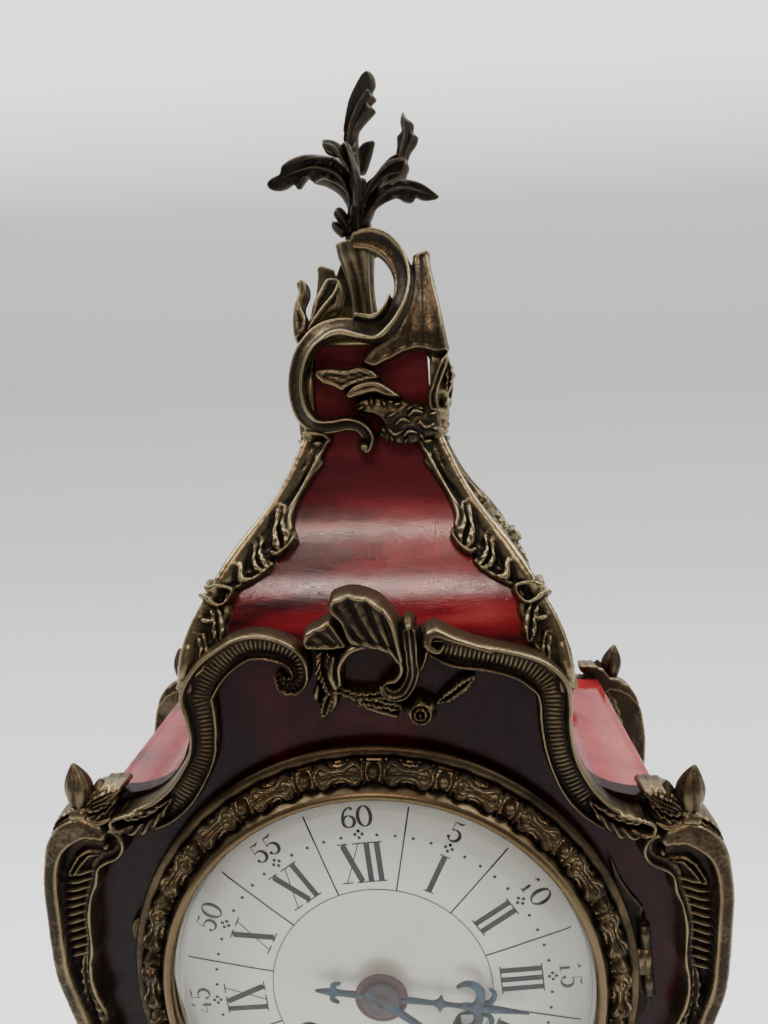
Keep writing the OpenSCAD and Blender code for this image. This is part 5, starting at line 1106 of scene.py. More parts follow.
def pen(points, widths, place, kind="dark", closed=False):
    """A flat stroke of varying half width. place puts drawing units on the dial's plane."""
    p = np.array(points, float)
    w = np.broadcast_to(np.array(widths, float), (len(p),))
    t = np.gradient(p, axis=0)
    if closed:
        t[0] = t[-1] = p[1] - p[-2]
    t /= np.maximum(np.linalg.norm(t, axis=1), 1e-9)[:, None]
    n = np.stack([-t[:, 1], t[:, 0]], 1)
    a, b = place(p + n * w[:, None]), place(p - n * w[:, None])
    INKED[kind].append((np.stack([a, b], 1).reshape(-1, 2), len(p)))


def arc(cx, cy, rx, ry, a0, a1, n):
    a = np.radians(np.linspace(a0, a1, n))
    return np.stack([cx + rx * np.cos(a), cy + ry * np.sin(a)], 1)


def upright(clock, radius, size, wide=1.0):
    """Places a drawing whose top points outwards, at a clock angle in degrees and a radius."""
    a = math.radians(90 - clock)
    up = np.array([math.cos(a), math.sin(a)])
    right = np.array([up[1], -up[0]])
    return lambda q: radius * up + size * (wide * q[:, :1] * right + q[:, 1:2] * up)


def line(p, q, w, place, n=2):
    pen(np.linspace(p, q, n), w, place)


# Letters of unit height: width, strokes (both ends and half width), and serifs at the head and at the foot
LETTERS = {
    "I": (0.36, [(0, 0.03, 0, 0.97, 0.1)], (0,), (0,)),
    "V": (0.74, [(-0.26, 0.97, 0.02, 0.02, 0.1), (0.27, 0.97, 0.04, 0.02, 0.018)], (-0.26, 0.27), ()),
    "X": (0.78, [(-0.27, 0.97, 0.27, 0.03, 0.1), (0.28, 0.97, -0.27, 0.03, 0.018)], (-0.26, 0.27),
          (-0.26, 0.27)),
}


# Radii on the dial: the inner circle, the feet of the hour numerals, the minute dots, the
# diamonds of dots at the hours, the feet of the minute figures, the ends of the lines, the outer circle
INNER_R, HOURS_R, DOTS_R, DIAMOND_R, MINUTES_R, LINES_R, OUTER_R = 24, 25.7, 36.6, 36.9, 38.5, 43.4, 45.2


def roman(text, clock):
    place = upright(clock, HOURS_R, 9.3, 0.66)
    x = -sum(LETTERS[c][0] for c in text) / 2
    for c in text:
        wide, strokes, heads, feet = LETTERS[c]
        m = x + wide / 2
        for x0, y0, x1, y1, w in strokes:
            line((m + x0, y0), (m + x1, y1), w, place)
        for serifs, y in ((heads, 0.98), (feet, 0.02)):
            for h in serifs:
                line((m + h - 0.19, y), (m + h + 0.19, y), 0.016, place)
        x += wide


def swell(n, low, rise):
    """Half widths of a bowl: thin at both ends and full in the middle."""
    return low + rise * np.sin(np.pi * np.linspace(0, 1, n)) ** 2


def oval(y, rx, ry, low, rise):
    """A closed oval that starts at its top: points and half widths, full at its left and right."""
    n = 26
    return arc(0, y, rx, ry, 90, 450, n), low + rise * np.abs(np.sin(2 * np.pi * np.linspace(0, 1, n)))


def ball(x, y, r, w):
    return arc(x, y, r, r, 0, 360, 9), w


NECK = np.vstack([arc(-0.02, 0.68, 0.25, 0.28, 170, -40, 16), [(-0.02, 0.3), (-0.26, 0.06)]])
# Digits of unit height: points and half widths of each stroke
DIGITS = {
    "0": [oval(0.5, 0.29, 0.48, 0.025, 0.06)],
    "1": [([(0, 0.02), (0, 0.96)], [0.07, 0.07]), ([(0.02, 0.96), (-0.16, 0.8)], [0.03, 0.02]),
          ([(-0.16, 0.02), (0.16, 0.02)], [0.02, 0.02])],
    "2": [(NECK, np.interp(np.linspace(0, 1, len(NECK)), [0, 0.5, 0.8, 1], [0.05, 0.08, 0.05, 0.02])),
          ([(-0.26, 0.06), (0.0, 0.1), (0.27, 0.04)], [0.03, 0.06, 0.02]), ball(-0.22, 0.7, 0.05, 0.04)],
    "3": [(arc(-0.02, 0.74, 0.22, 0.23, 160, -80, 16), swell(16, 0.02, 0.055)),
          (arc(-0.02, 0.28, 0.27, 0.27, 80, -160, 18), swell(18, 0.02, 0.065)),
          ball(-0.24, 0.2, 0.045, 0.04)],
    "4": [([(0.12, 0.02), (0.12, 0.97)], [0.07, 0.06]), ([(0.12, 0.97), (-0.3, 0.3)], [0.025, 0.02]),
          ([(-0.3, 0.28), (0.3, 0.28)], [0.022, 0.022])],
    "5": [([(-0.18, 0.93), (0.1, 0.9), (0.24, 0.97)], [0.02, 0.05, 0.02]),
          ([(-0.18, 0.93), (-0.2, 0.52)], [0.02, 0.02]),
          (arc(-0.04, 0.3, 0.27, 0.28, 130, -150, 20), swell(20, 0.02, 0.065)),
          ball(-0.24, 0.18, 0.045, 0.04)],
    "6": [oval(0.3, 0.26, 0.28, 0.02, 0.06),
          (arc(0.12, 0.42, 0.38, 0.54, 185, 80, 14), np.linspace(0.07, 0.03, 14)),
          ball(0.17, 0.9, 0.04, 0.035)],
}


def digit(c, dx, place):
    for points, widths in DIGITS[c]:
        pen(np.array(points, float) + np.array([dx, 0]), widths, place, "faint")


HOURS = ("I", "II", "III", "IIII", "V", "VI", "VII", "VIII", "IX", "X", "XI", "XII")
for k in range(12):
    clock = (k + 1) * 30
    roman(HOURS[k], clock)
    text = str((k + 1) * 5)
    place = upright(clock, MINUTES_R, 4.7)
    for i, ch in enumerate(text):
        digit(ch, (i - (len(text) - 1) / 2) * 0.72, place)
    flat = upright(clock, 0, 1)
    for dx, dy in ((0, 0.75), (0, -0.75), (0.75, 0), (-0.75, 0)):
        pen(arc(dx, DIAMOND_R + dy, 0.2, 0.2, 0, 360, 11), 0.2, flat)
    half_line = upright(clock + 15, 0, 1)
    line((0, INNER_R), (0, LINES_R), 0.17, half_line, 12)
    for dm in (-12, -6, 6, 12):
        pen(arc(0, DOTS_R, 0.19, 0.19, 0, 360, 11), 0.2, upright(clock + dm, 0, 1))
for kind, r, w in (("dark", INNER_R, 0.1), ("faint", OUTER_R, 0.05)):
    pen(arc(0, 0, r, r, 0, 360, 181), w, lambda q: q, kind, True)
for kind, mat in (("dark", INK), ("faint", INK_FAINT)):
    pts, faces, at = [], [], 0
    for q, n in INKED[kind]:
        pts.append(on_dial(q, 0.06 if kind == "dark" else 0.05))
        faces += [[at + 2 * i, at + 2 * i + 1, at + 2 * i + 3, at + 2 * i + 2] for i in range(n - 1)]
        at += 2 * n
    dress(make_mesh("dial_marks_" + kind, np.vstack(pts), faces), mat, "case", shaded_and_worn=False)


# Hands, cut and filed

def hand(name, clock, strokes, p0):
    rel = Relief(-8, 8, -16, 40, 0.14)
    for st in strokes:
        rel.stroke([(x, z, w, 0.7) for x, z, w in st], lambda u, v, w: 0.8 + 0.2 * bump(v, 0, 1.0),
            edge=0.3, soft=0.02)
    c, s = math.cos(math.radians(-clock)), math.sin(math.radians(-clock))

    def place(x, z, h):
        return on_drum(np.stack([x * c - z * s, FACE_Y - p0 - h, x * s + z * c + DIAL_Z], 1))
    return rel.mesh(name, place, grain=0.01)


def c_scroll(s, cx, cz, r, a0, a1, w):
    return [(s * (cx + r * math.cos(math.radians(a))), cz + r * math.sin(math.radians(a)),
             w * (0.35 + 0.65 * math.sin(math.pi * k / 12))) for k, a in enumerate(np.linspace(a0, a1, 13))]


hour_strokes = [[(0, 4.5, 0.75), (0, 9, 0.6), (0, 11.2, 0.55), (0, 12.6, 1.5), (0, 14, 0.55),
                 (0, 20, 0.65), (0, 23, 0.9), (0, 26, 0.7), (0, 31.5, 0.12)],
                [(-1.7, 12.7, 0.3), (0, 12.7, 0.9), (1.7, 12.7, 0.3)],
                [(0, -4.5, 0.8), (0, -8.5, 0.7), (0, -10.4, 0.9), (0, -12, 0.7), (0, -14.2, 0.2)],
                [(-2.3, -9.2, 0.3), (-1.6, -10.6, 0.6), (0, -10.2, 0.7), (1.6, -10.6, 0.6),
                 (2.3, -9.2, 0.3)]]
for s in (-1, 1):
    hour_strokes.append(c_scroll(s, 2.6, 18.2, 2.9, 215, -50, 1.0))
    hour_strokes.append(c_scroll(s, 3.2, 22.2, 1.7, 200, 20, 0.6))
minute_strokes = [[(0, 0, 1.0), (0, 12, 0.7), (0, 15, 0.6), (0, 16.4, 1.5), (0, 18, 0.55),
                   (0, 24, 0.6), (0, 27, 0.9), (0, 30, 0.6), (0, 38.8, 0.12)],
                  [(0, 0, 1.0), (0, -3, 0.9)]]
for s in (-1, 1):
    minute_strokes.append(c_scroll(s, 2.5, 21.8, 2.8, 215, -50, 0.9))
    minute_strokes.append(c_scroll(s, 2.8, 25.8, 1.5, 200, 20, 0.5))
dress(hand("hour_blade", 101.5, hour_strokes, 7.2), BLUED, "hour", ["hour_hand"])
boss = facing(lathe("hour_boss", [(2.25, 7.2), (5.5, 7.2), (5.7, 7.35), (5.7, 7.65), (5.3, 7.8), (4.6, 7.68),
                                  (3.9, 7.8), (2.25, 7.8), (2.25, 7.2)], 120))
dress(boss, BOSS, "hour")
dress(hand("minute_blade", 132, minute_strokes, 8.2), BLUED, "centre", ["minute_hand"])
collet = facing(lathe("minute_collet", [(0.85, 8.2), (3.7, 8.2), (4.0, 8.3), (4.0, 8.55), (3.6, 8.78),
    (2.9, 8.68), (2.4, 8.8), (1.35, 8.8), (1.25, 9.1), (0.85, 9.1), (0.85, 8.2)], 96))
pipe = facing(lathe("minute_pipe", [(0.83, -8.8), (1.25, -8.8), (1.25, 8.3), (0.83, 8.3), (0.83, -8.8)], 40))
leaves = facing(lathe("minute_leaves", [(1.0, -8.2), (2.4, -8.2), (2.4, -6.8), (1.0, -6.8), (1.0, -8.2)],
    144, lambda a, t: 1 + 0.12 * np.sign(np.cos(12 * a)) * (0.2 < t < 0.8)))
dress(joined("minute_collet_steel", [collet, pipe, leaves]), COLLET, "centre")


# Crown: a C scroll, a loop and a fluted panel round the block on the roof, cast in one

def lean(x, z):
    """Depth of the crown's front: upright low down, leaning back above."""
    return -12.9 + 0.47 * np.clip(z - 140, 0, 30) * np.clip((z - 140) / 8, 0, 1) ** 0.5


def crown_front():
    rel = Relief(-21, 21, 113.5, 163, 0.22)
    # Smooth fluted panel on the right, then the C scroll with its loop
    rel.fill([(9.4, 151.5), (9.8, 155.4), (12.9, 156.2), (13.7, 153.5), (15.2, 146.8), (16.9, 138.6),
        (17.1, 136.2), (14.1, 135.7), (10.9, 136.5), (7.7, 135.9), (4.4, 134.4), (0.6, 133.0), (-2, 134.6),
        (1, 138), (5.6, 141), (8.2, 145)], fluted((11.6, 196), 110, 2.4, 0.2, 0.35), edge=1.0)
    rel.rod([(10.2, 155.2, 0.6, 2.6), (12.7, 155.8, 0.8, 2.8)], 0.7)
    c_path = [(-2.2, 159.6, 1.4, 3.0), (0.6, 159.6, 1.9, 3.6), (3.9, 158.3, 2.1, 4.0),
        (6.5, 155.2, 2.15, 4.2), (7.7, 151.2, 2.15, 4.4), (7.2, 146.8, 2.3, 4.6), (5.0, 143.1, 2.5, 4.8),
        (1.6, 140.8, 2.5, 4.8), (-2.0, 141.0, 2.4, 4.8), (-6.2, 141.6, 2.3, 4.8), (-10.6, 140.6, 2.3, 4.8),
        (-14.0, 137.6, 2.3, 4.8), (-15.9, 133, 2.3, 4.8), (-16.3, 128, 2.3, 4.8), (-15.1, 123.4, 2.3, 4.8),
        (-12.4, 120.9, 2.1, 4.8), (-8.8, 120.7, 1.9, 4.8), (-5.2, 121.2, 1.8, 4.8), (-2.5, 120.3, 1.8, 5.0),
        (-0.9, 118.2, 1.9, 5.2), (-1.4, 116.0, 1.8, 5.2)]
    rel.stroke(c_path, lambda u, v, w: 0.5 + 0.26 * v + 0.3 * bump(v, 0.5, 0.22) - 0.1 * bump(v, -0.2, 0.5),
        edge=0.7)
    rel.dot(-1.7, 115.9, 1.95, 5.2)
    rel.rod([(4.6, 146.8, 0.5, 3.2), (3.0, 143.9, 0.7, 3.6), (0.6, 142.8, 0.8, 3.6),
        (-2.8, 143.4, 0.6, 3.2)], 0.7)
    # Strip and small leaves down the right edge
    rel.fill([(16.9, 136.2), (15.3, 134.8), (14.1, 132.8), (13.0, 129.6), (12.1, 126.9), (12.6, 123.6),
        (15.2, 123.4), (14.8, 126.9), (15.8, 130.1), (17.0, 133.4)],
        lambda x, z, sd: 3.4 + 0.8 * bump(sd, 0.6, 0.6), edge=0.7)
    rel.leaf([(16.9, 134, 0.7, 3.2), (17.2, 131, 1.4, 3.4), (16.8, 128, 0.9, 3)], 3, 0.3, vein=1.2, edge=0.7)
    rel.dot(16.4, 125, 1.3, 4.0)
    # Broad leaves inside the scroll
    rel.fill([(-12.6, 131.9), (-11.9, 133.2), (-8.7, 133.6), (-5.5, 133.2), (-2.2, 133.7), (0.7, 132.7),
        (2.0, 130.7), (-1.2, 129.8), (-4.5, 128.9), (-6.2, 127.9), (-8.4, 129.0), (-10.9, 130.0)],
        fluted((6, 128), 60, 3.0, 0.8, 0.35))
    rel.fill([(-5.9, 127.3), (-4.2, 129.3), (-1.2, 130.5), (1.7, 130.4), (4.6, 128.7), (6.9, 126.6),
        (3.6, 126.6), (0.9, 127.5), (-2.4, 126.9), (-4.6, 126.3)],
        lambda x, z, sd: 3.6 + 1.1 * bump(sd, 0.9, 0.8), edge=0.7)
    # Crumpled cluster of acanthus at the bottom
    rel.fill([(-3.6, 123.6), (-3.8, 125.6), (-1.9, 126.9), (2.0, 127.1), (5.2, 126.7), (8.5, 125.6),
        (11.7, 125.3), (14.7, 123.6), (15.2, 121.5), (14.9, 118.7), (12.1, 117.2), (8.2, 115.8),
        (4.9, 116.1), (2.6, 117.2), (0.9, 118.6), (2.2, 120.7), (0.8, 122.4),
        (-1.2, 122.9)],
        lambda x, z, sd: 2.6 + 0.3 * sd, edge=1.0)
    bumps = np.random.default_rng(11)
    for x, z, r in ((-2.2, 124.6, 1.3), (0.2, 125.8, 1.3), (2.9, 125.4, 1.4), (5.6, 125.2, 1.2),
            (8.2, 124.2, 1.3), (10.8, 124.2, 1.1), (13.2, 123, 1.2), (4.2, 122.8, 1.4), (13.6, 119.8, 1.3),
            (10.8, 118.2, 1.3), (7.4, 117.2, 1.2), (4.4, 117.6, 1.2), (2.6, 119.6, 1.1), (10.2, 121, 1.2)):
        a = bumps.uniform(0, math.pi)
        dx, dz = 0.7 * r * math.cos(a), 0.7 * r * math.sin(a)
        rel.stroke([(x - dx, z - dz, r * 0.5, 4.0), (x, z, r * 0.8, 4.8), (x + dx, z + dz, r * 0.45, 4.1)],
            ridged(2, 0.25))
    for x, z, s in ((6.8, 121.4, 1), (9.6, 123.2, 1), (12.0, 120.6, -1), (5.2, 119.2, -1), (8.4, 118.8, 1)):
        rel.rod([(x - 1.5, z - 0.6 * s, 0.5, 4.4), (x - 0.2, z + 0.5 * s, 0.8, 5.1),
            (x + 1.4, z + 0.1, 0.5, 4.5)])
    return rel.mesh("crown_front", seen(lean), back=0.9)


def crown_side():
    rel = Relief(-15, 15, 116.6, 152, 0.3)
    rel.leaf([(-2, 118, 1.6, 2.8), (-7, 120, 2.4, 3.4), (-11, 126, 2.6, 3.6), (-11.4, 133, 2.4, 3.4),
        (-10, 141, 1.9, 3.2), (-9.4, 148, 0.9, 2.6)], 6, 0.2, vein=2.0)
    rel.stroke([(11.6, 118.6, 1.8, 3.0), (12, 126, 2.0, 3.4), (10.4, 132, 1.8, 3.4), (6, 135.4, 1.6, 3.2),
        (0.4, 134.6, 1.5, 3.2), (-3.6, 131.6, 1.3, 3), (-3.8, 128.6, 1.0, 2.8)],
        lambda u, v, w: 0.6 + 0.4 * bump(v, 0.3, 0.8), edge=0.7)
    rel.leaf([(-6, 118.8, 1.2, 3), (0, 120.4, 2.4, 3.8), (6, 120.6, 2.3, 3.8), (12, 118.8, 1.3, 3)], 4, 0.2,
        vein=1.6)
    rel.leaf([(-9, 136, 0.9, 2.6), (-4, 139.2, 1.3, 3), (3, 138.8, 1.4, 3), (9, 137.4, 1.2, 2.8),
        (12, 134, 0.8, 2.6)], vein=1.5, edge=0.7)

    def place(x, z, h):
        return np.stack([x, -13.7 - h + 0.12 * np.clip(z - 138, 0, 20), z + DIAL_Z], 1)
    return rel.mesh("crown_side", place, back=0.8)


def spun(ob, name, deg):
    """A copy turned about the clock's upright axis."""
    c, s = math.cos(math.radians(deg)), math.sin(math.radians(deg))
    pts = np.array([v.co for v in ob.data.vertices]) / MM
    q = np.stack([pts[:, 0] * c - pts[:, 1] * s, pts[:, 0] * s + pts[:, 1] * c, pts[:, 2]], 1)
    return make_mesh(name, q, [list(f.vertices) for f in ob.data.polygons])


f, sd = crown_front(), crown_side()
parts = [spun(f, "crown_back", 180), spun(sd, "crown_right", 90), spun(sd, "crown_left", 270), f]
bpy.data.objects.remove(sd)
# Leaf between scroll and trunk, drawn as seen
rel = Relief(-21, 1, 137, 156, 0.22)
rel.fill([(-6.3, 150.2), (-7.0, 152.8), (-10.1, 153.2), (-12, 150.6), (-13.6, 148.0), (-14.4, 145),
    (-15.2, 141.6), (-12.2, 142.6), (-9.9, 145.0), (-7.5, 146.4)], fluted((-16, 138), 26, 1.6, 0.6, 0.4))
rel.fill([(-17.3, 152.2), (-16.0, 153.2), (-14.5, 152.1), (-14.4, 149.9), (-15.6, 147), (-14.8, 144),
    (-15.4, 141.0), (-18.0, 139.5), (-18.6, 143.6), (-17.9, 147.8), (-16.9, 150.3)],
    fluted((-17, 136), 24, 2.2, 0.6, 0.4))
rel.rod([(-14.6, 142, 0.6, 2.4), (-11.6, 145.6, 0.9, 2.9), (-8.4, 149.4, 0.7, 2.6), (-7.4, 152, 0.5, 2.2)])
parts.append(rel.mesh("crown_leaf", seen(lambda x, z: -9.5 + 0.3 * (z - 141), -3.0), back=1.2))
# Trunk, grooved like bark, from the foot plate up to the spray
n = 40
path = [(-1.9 - 2.1 * t + 0.5 * math.sin(3.0 * t), -0.4 + 0.4 * math.sin(4 * t), DIAL_Z + 138.5 + 23.6 * t)
        for t in np.linspace(0, 1, n)]
rad = [4.1 - 1.3 * math.sin(math.pi * min(1, t * 1.15)) for t in np.linspace(0, 1, n)]
parts.append(tube("trunk", path, rad, 64, lambda t, a: 1 + 0.07 * np.cos(5 * a + 2.0 * t)
    + 0.05 * np.cos(9 * a - 3 * t)))
corners = [(-13.6, -12.8), (13.6, -12.8), (13.6, 12.8), (-13.6, 12.8)]
parts.append(slab("plate", corners, DIAL_Z + 138.02, DIAL_Z + 139.5))
crown = joined("crown_bronze", parts)
dress(crown, BRONZE, replaces=["crown"])


# Spray: leaves that curl out of a collar, each two-sided

def bent(y0, kx=0.0, kz=0.0):
    """Depth of a flat leaf: y0 on the axis 175 mm over the dial centre, with its slopes."""
    return lambda x, z: y0 + kx * x + kz * (z - 175)


def plumed(foot, ribs, height, depth, turn):
    """Acanthus: soft folds that spread from a foot and a swelling towards the edge."""
    def h(x, z, sd):
        r = np.hypot(x - foot[0], z - foot[1])
        a = np.arctan2(z - foot[1], x - foot[0]) + turn * r
        swelling = 0.7 + 0.3 * bump(np.minimum(sd, 1.5), 1.0, 1.0)
        return height * swelling + depth * np.cos(a * ribs) * np.clip(r / 9, 0, 1)
    return h


parts = []


def spray_leaf(name, outline, foot, ribs, depth, rolls, height, back=0.6, turn=0.0, folds=0.35):
    """A leaf of the spray with its outline, folds from a foot, depth(x, z), raised rolls and thickness."""
    rel = Relief(-25, 17, 160, 203, 0.2)
    rel.fill(outline, plumed(foot, ribs, height, folds, turn), edge=0.7)
    for st in rolls:
        rel.rod(st, 0.7, 0.4)
    parts.append(rel.mesh(name, seen(depth, 0.0), back=back))


spray_leaf("tall", [(-5.5, 184.0), (-5.0, 187.7), (-3.8, 191.8), (-2.5, 194.8), (-0.8, 197.1), (0.6, 197.8),
    (1.7, 197.1), (1.9, 195.1), (1.2, 193.6), (2.0, 192.2), (0.8, 191.0), (1.8, 189.8), (0.1, 188.0),
    (-1.4, 186.5), (-2.3, 184.9), (-2.4, 180.7), (-2.4, 173), (-4.2, 173), (-4.6, 179.7)], (-6, 178),
    26, lambda x, z: -0.4 - 2.2 * np.sin(np.clip((z - 168) / 31, 0, 1) * np.pi) + 0.3 * (x + 1),
    [[(-4.4, 181, 0.45, 2.0), (-3.4, 186, 0.6, 2.2), (-1.4, 190.4, 0.6, 2.1), (0.6, 193.4, 0.4, 1.8)],
    [(-4.9, 185.6, 0.3, 1.7), (-3.2, 191.6, 0.45, 1.9), (-0.4, 196.4, 0.4, 1.7)]], 1.3, 0.8, 0.01)
spray_leaf("upright", [(6.0, 179.2), (6.5, 181.9), (6.6, 184.3), (7.6, 185.0), (7.3, 187.2), (8.0, 189.2),
    (8.8, 187.9), (10.3, 186.7), (10.2, 184.8), (11.2, 183.9), (10.8, 182.3), (9.4, 180.5), (8.4, 178.4),
    (6.6, 177.6)], (7, 176), 22, lambda x, z: -0.4 + 0.16 * (z - 178) + 0.25 * (x - 8),
    [[(7.2, 179, 0.4, 1.8), (8.4, 183, 0.5, 1.9), (8.4, 187, 0.3, 1.6)]], 1.2)
spray_leaf("droop_left", [(-4.8, 169.0), (-5.0, 172.0), (-6.5, 173.9), (-8.4, 175.1), (-11.0, 175.9),
    (-12.6, 175.2), (-13.8, 176.1), (-15.0, 175.2), (-16.3, 173.8), (-17.4, 175.0), (-19.4, 174.0),
    (-21.5, 173.7), (-23.0, 174.6), (-23.2, 175.8), (-21.9, 176.9), (-20.1, 177.6), (-19.8, 179.2),
    (-17.4, 180.7), (-14.5, 181.4), (-11.3, 181.2), (-8.8, 180.7), (-6.5, 179.7), (-4.6, 177.6),
    (-3.2, 174.3), (-2.8, 168.9)], (-6, 184), 15, lambda x, z: -2.0 - 0.16 * np.abs(x + 3)
    - 0.006 * (x + 3) ** 2 - 0.2 * (z - 178), [[(-3.8, 171, 0.6, 2.0), (-6, 176.2, 0.8, 2.3),
    (-11, 178.4, 0.75, 2.3), (-16, 177.6, 0.6, 2.1), (-21, 175.8, 0.4, 1.8)],
    [(-8, 180.2, 0.4, 1.8), (-13, 180.4, 0.5, 2.0), (-18, 179, 0.4, 1.8)]], 1.5, 1.1, -0.02, 0.45)
spray_leaf("bud_left", [(-10.4, 182.9), (-10.1, 184.1), (-8.9, 184.3), (-7.2, 183.8), (-5.8, 182.6),
    (-4.3, 180.3), (-3.7, 177.0), (-4.8, 177.1), (-6.2, 179.8), (-8.2, 180.7), (-9.6, 181.3)], (-4, 176),
    14, bent(-4.0, 0.2), [[(-4.8, 178.6, 0.6, 2.0), (-7.2, 181.8, 0.9, 2.4), (-9.4, 182.8, 0.8, 2.2)]], 1.4)
spray_leaf("middle", [(-6.2, 183.1), (-5.1, 183.8), (-3.9, 182.6), (-3.2, 179.9), (-2.3, 177.5),
    (-1.6, 173.2), (-2.0, 169), (-3.6, 169), (-4.1, 176.0), (-4.8, 179.7), (-5.8, 181.4)], (-3, 168), 16,
    bent(-4.8, 0, -0.05), [[(-5.1, 182.8, 0.5, 2.0), (-4.0, 179.4, 0.6, 2.2), (-2.9, 174, 0.7, 2.3),
    (-2.8, 169.6, 0.7, 2.2)]], 1.4)
spray_leaf("small", [(-2.6, 181.7), (-0.8, 183.3), (1.4, 183.5), (1.1, 181.6), (0.3, 179.2), (-1.0, 176.5),
    (-2.6, 177)], (-1.6, 175), 16, bent(1.6, 0.15), (), 1.1)
spray_leaf("droop_right", [(-0.5, 163.9), (0.2, 166.6), (1.2, 168.5), (2.8, 169.7), (4.9, 170.6),
    (6.6, 170.9), (8.0, 170.1), (9.6, 169.8), (10.6, 170.9), (12.5, 170.2), (14.9, 170.3), (15.4, 171.1),
    (13.7, 172.6), (11.5, 174.1), (9.2, 174.9), (6.7, 175.1), (3.5, 174.0), (0.9, 172.0), (-1.2, 169.4),
    (-2.3, 166.7), (-2.3, 163.9)], (3, 180), 16, lambda x, z: -2.6 - 0.14 * np.abs(x) - 0.012 * x * x
    - 0.15 * (z - 172), [[(-1.2, 166, 0.6, 2.0), (1.6, 171, 0.75, 2.2), (6.4, 173, 0.7, 2.2),
    (11.4, 172, 0.5, 1.9), (14.6, 170.8, 0.35, 1.7)]], 1.4, 1.1, 0.02, 0.4)
spray_leaf("cup_right", [(-2.1, 168.9), (-1.9, 172.0), (-1.0, 174.2), (1.3, 176.2), (3.4, 178.4),
    (5.4, 180), (7.1, 180.4), (8.6, 179.2), (9.1, 177.5), (8.6, 176.3), (8.1, 175.2), (5.8, 174.6),
    (3.2, 174.0), (1.2, 172.0), (-0.6, 168.8)], (-2, 168), 18, bent(-1.6, 0.1, 0.1),
    [[(-1.4, 170.4, 0.5, 2.0), (1.2, 174.4, 0.7, 2.2), (4.8, 177.8, 0.9, 2.4), (7.4, 178.6, 0.8, 2.2)],
    [(0.6, 172, 0.4, 1.8), (4, 175.2, 0.6, 2.1), (7.6, 176, 0.5, 1.9)]], 1.5, 1.1)
spray_leaf("collar_leaves", [(-7.0, 163.0), (-8.4, 164.2), (-9.1, 165.6), (-8.7, 166.8), (-7.5, 166.3),
    (-8.5, 168.0), (-7.9, 169.5), (-6.7, 169.6), (-5.5, 168.3), (-5.0, 166.8), (-4.4, 169.6), (-3.4, 172.1),
    (-1.5, 172.0), (-0.8, 168.8), (0.0, 166.1), (0.2, 163.3), (-1.4, 162.7), (-3.7, 163.6), (-5.4, 163.4)],
    (-3.6, 160), 14, bent(-2.6, 0.0, -0.06), [[(-6.2, 164, 0.6, 2.2), (-7.8, 165.4, 0.7, 2.4),
    (-8.2, 166, 0.5, 2.2)], [(-5.4, 165.2, 0.6, 2.2), (-6.6, 167.8, 0.8, 2.5), (-7.4, 168.6, 0.6, 2.3)],
    [(-3.0, 164, 0.7, 2.2), (-2.8, 168, 0.7, 2.3), (-2.6, 171.4, 0.5, 2.1)]], 1.5, 1.4)
for name, y0, k, pts in (("rear_left", 3.0, -0.5, [(-3.6, 166), (-6, 171.6), (-9.4, 174.2), (-12.4, 175.2),
        (-13.2, 177), (-10.6, 178.6), (-7.0, 178.2), (-4.2, 175.4), (-1.6, 169), (-1.8, 166)]),
        ("rear_right", 3.2, 0.55, [(-2.8, 166), (-1.6, 171), (0.6, 175), (3.4, 177.6), (6.6, 178.2),
        (6.4, 175.6), (4.0, 173.4), (1.6, 170.4), (-0.6, 166)])):
    spray_leaf(name, pts, (-2, 164), 14, lambda x, z, y0=y0, k=k: y0 + k * (x + 3), (), 1.3, 0.9)
stem = [(-3.3 + 0.9 * t, 0.2 - 1.2 * t, DIAL_Z + 162.4 + 13 * t) for t in np.linspace(0, 1, 24)]
parts.append(tube("stem", stem, [2.5 - 0.9 * t for t in np.linspace(0, 1, 24)], 48,
                  lambda t, a: 1 + 0.13 * np.cos(6 * a + 1.5 * t)))
parts.append(lathe("collar", [(0.3, -1.9), (2.7, -1.9), (3.0, -1.2), (2.9, -0.4), (3.0, 0.3), (2.5, 0.9),
    (0.3, 1.0)], 60, lambda a, t: 1 + 0.05 * np.cos(9 * a), (-3.4, 0, DIAL_Z + 161.6)))
spray = joined("finial_spray_bronze", parts)
dress(spray, BRONZE_DARK, replaces=["finial_spray"])


# Everything else keeps the frame's shape: bronze for feet and other mounts, brass for the movement

finishes = ((SHELL_FRONT, ["front_board"]), (SHELL_DARK, ["back_board", "base_moulding"]),
            (GLASS, ["bezel_glass", "rear_door_glass"]), (ENAMEL, ["dial"]), (BELL, ["bell"]),
            (STEEL, ["finial_rod", "hinge_pins", "going_winding_arbor", "strike_winding_arbor",
                     "going_click", "strike_click", "anchor", "hammer", "third_wheel"]))
by_node = {n: m for m, names in finishes for n in names}
for name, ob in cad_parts.items():
    plain = BRONZE_PLAIN if "mount" in name or "foot" in name else BRASS
    ob.data.materials.clear()
    ob.data.materials.append(by_node.get(name, plain))


# Studio

def paper():
    """Pale paper with painted shade: it darkens where the wall starts and clears again above."""
    m = Nodes("backdrop_paper")
    up = m.curve(m.new("SeparateXYZ", Vector=m.new("TexCoord").outputs["Object"]).outputs["Z"], 0.0, 1.0)
    # Painted shade: dark grey up the lower wall, pale again higher up
    col = m.ramp(up, [(0.0, (0.95, 0.96, 0.97)), (0.02, (0.70, 0.705, 0.71)), (0.12, (0.44, 0.44, 0.44)),
        (0.3, (0.32, 0.32, 0.318)), (0.55, (0.37, 0.372, 0.37)), (0.78, (0.86, 0.865, 0.86)),
        (1.0, (0.96, 0.96, 0.96))])
    return m.surface(col, 0.9, Specular_IOR_Level=0.1)


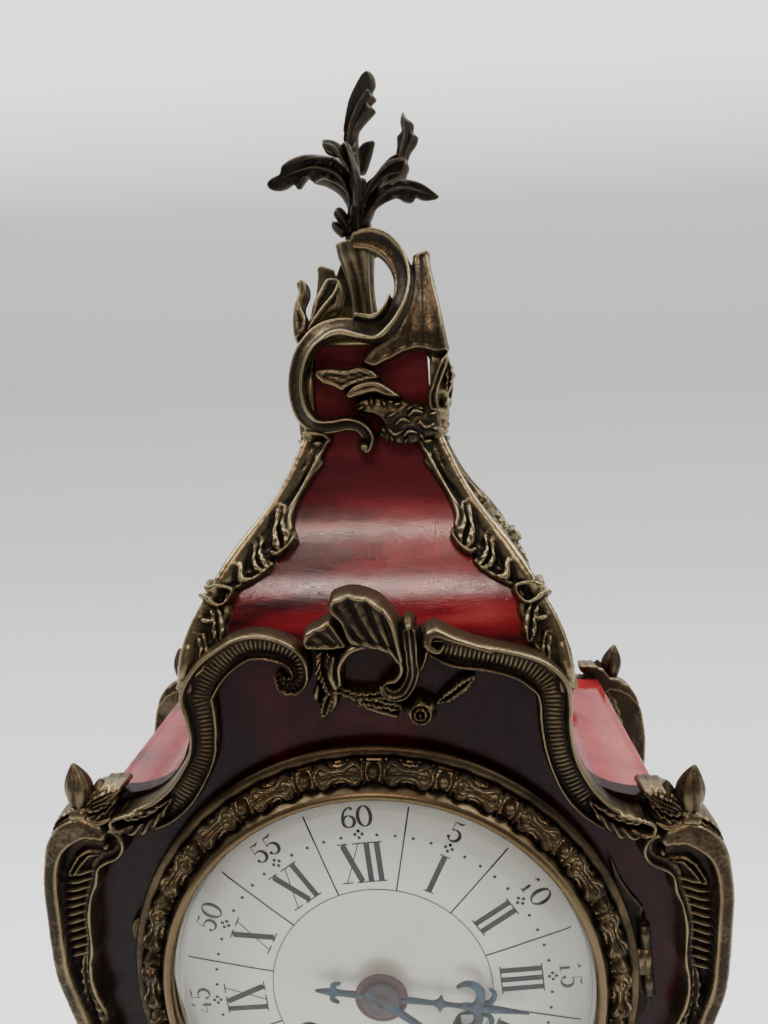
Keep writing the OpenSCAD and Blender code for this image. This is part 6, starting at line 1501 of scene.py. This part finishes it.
# The sweep runs flat under the clock, turns up in a quarter circle and ends upright, all widths the same
SWEEP_START, SWEEP_R, SWEEP_HALF = 60, 1100, 2400
sweep = [(-1500, 0), (SWEEP_START, 0)]
sweep += [(SWEEP_START + SWEEP_R * math.sin(a), SWEEP_R - SWEEP_R * math.cos(a))
          for a in np.linspace(0.02, math.pi / 2, 60)]
sweep += [(SWEEP_START + SWEEP_R, z) for z in (1400, 2200)]
backdrop = strip_mesh("studio_sweep", [[[(x, y, z) for x in (-SWEEP_HALF, SWEEP_HALF)] for y, z in sweep]])
backdrop.data.materials.append(paper())


def soft_light(name, place, target, size, power, color=(1, 1, 1)):
    lamp = bpy.data.lights.new(name, "AREA")
    lamp.shape = "RECTANGLE"
    lamp.size, lamp.size_y = size
    lamp.energy = power
    lamp.color = color
    ob = bpy.data.objects.new(name, lamp)
    bpy.context.collection.objects.link(ob)
    ob.location = Vector(place)
    ob.rotation_euler = (Vector(target) - Vector(place)).to_track_quat("-Z", "Y").to_euler()


CLOCK = (0, 0, 0.2)
soft_light("overhead", (0.0, 0.25, 1.5), CLOCK, (1.6, 0.9), 16)
soft_light("strip_high", (-0.1, -0.77, 1.21), (0, 0, 0.27), (0.45, 0.04), 2.6, (1.0, 0.72, 0.62))
soft_light("strip_low", (-0.1, -0.95, 1.00), (0, 0, 0.26), (0.45, 0.035), 2.8, (1.0, 0.78, 0.7))
soft_light("left_panel", (-1.1, 0.1, 0.6), CLOCK, (0.5, 1.0), 1.8)
soft_light("right_panel", (1.15, -0.1, 0.6), CLOCK, (0.5, 1.0), 4)
soft_light("backdrop_left", (-1.1, 0.1, 1.5), (-0.2, 1.0, 0.7), (0.8, 0.8), 26)
soft_light("backdrop_right", (1.1, 0.1, 1.5), (0.2, 1.0, 0.7), (0.8, 0.8), 26)
world = bpy.data.worlds.new("studio_world")
bpy.context.scene.world = world
world.use_nodes = True
world.node_tree.nodes["Background"].inputs[0].default_value = (0.72, 0.73, 0.74, 1)
world.node_tree.nodes["Background"].inputs[1].default_value = 0.22

# Camera of the photograph
yaw, pitch, roll = (math.radians(a) for a in (3.87, -9.96, 1.77))
R = Matrix.Rotation(yaw, 3, "Z") @ Matrix.Rotation(pitch, 3, "X") @ Matrix.Rotation(roll, 3, "Y")
cam = bpy.data.cameras.new("photo_camera")
cam.lens = 27.04
cam.sensor_width = 36
cam.clip_start = 0.01
cam.clip_end = 20
eye = bpy.data.objects.new("photo_camera", cam)
bpy.context.collection.objects.link(eye)
cols = Matrix((R @ Vector((1, 0, 0)), R @ Vector((0, 0, 1)), R @ Vector((0, -1, 0)))).transposed()
eye.matrix_world = Matrix.Translation(Vector(EYE) * MM) @ cols.to_4x4()
bpy.context.scene.camera = eye
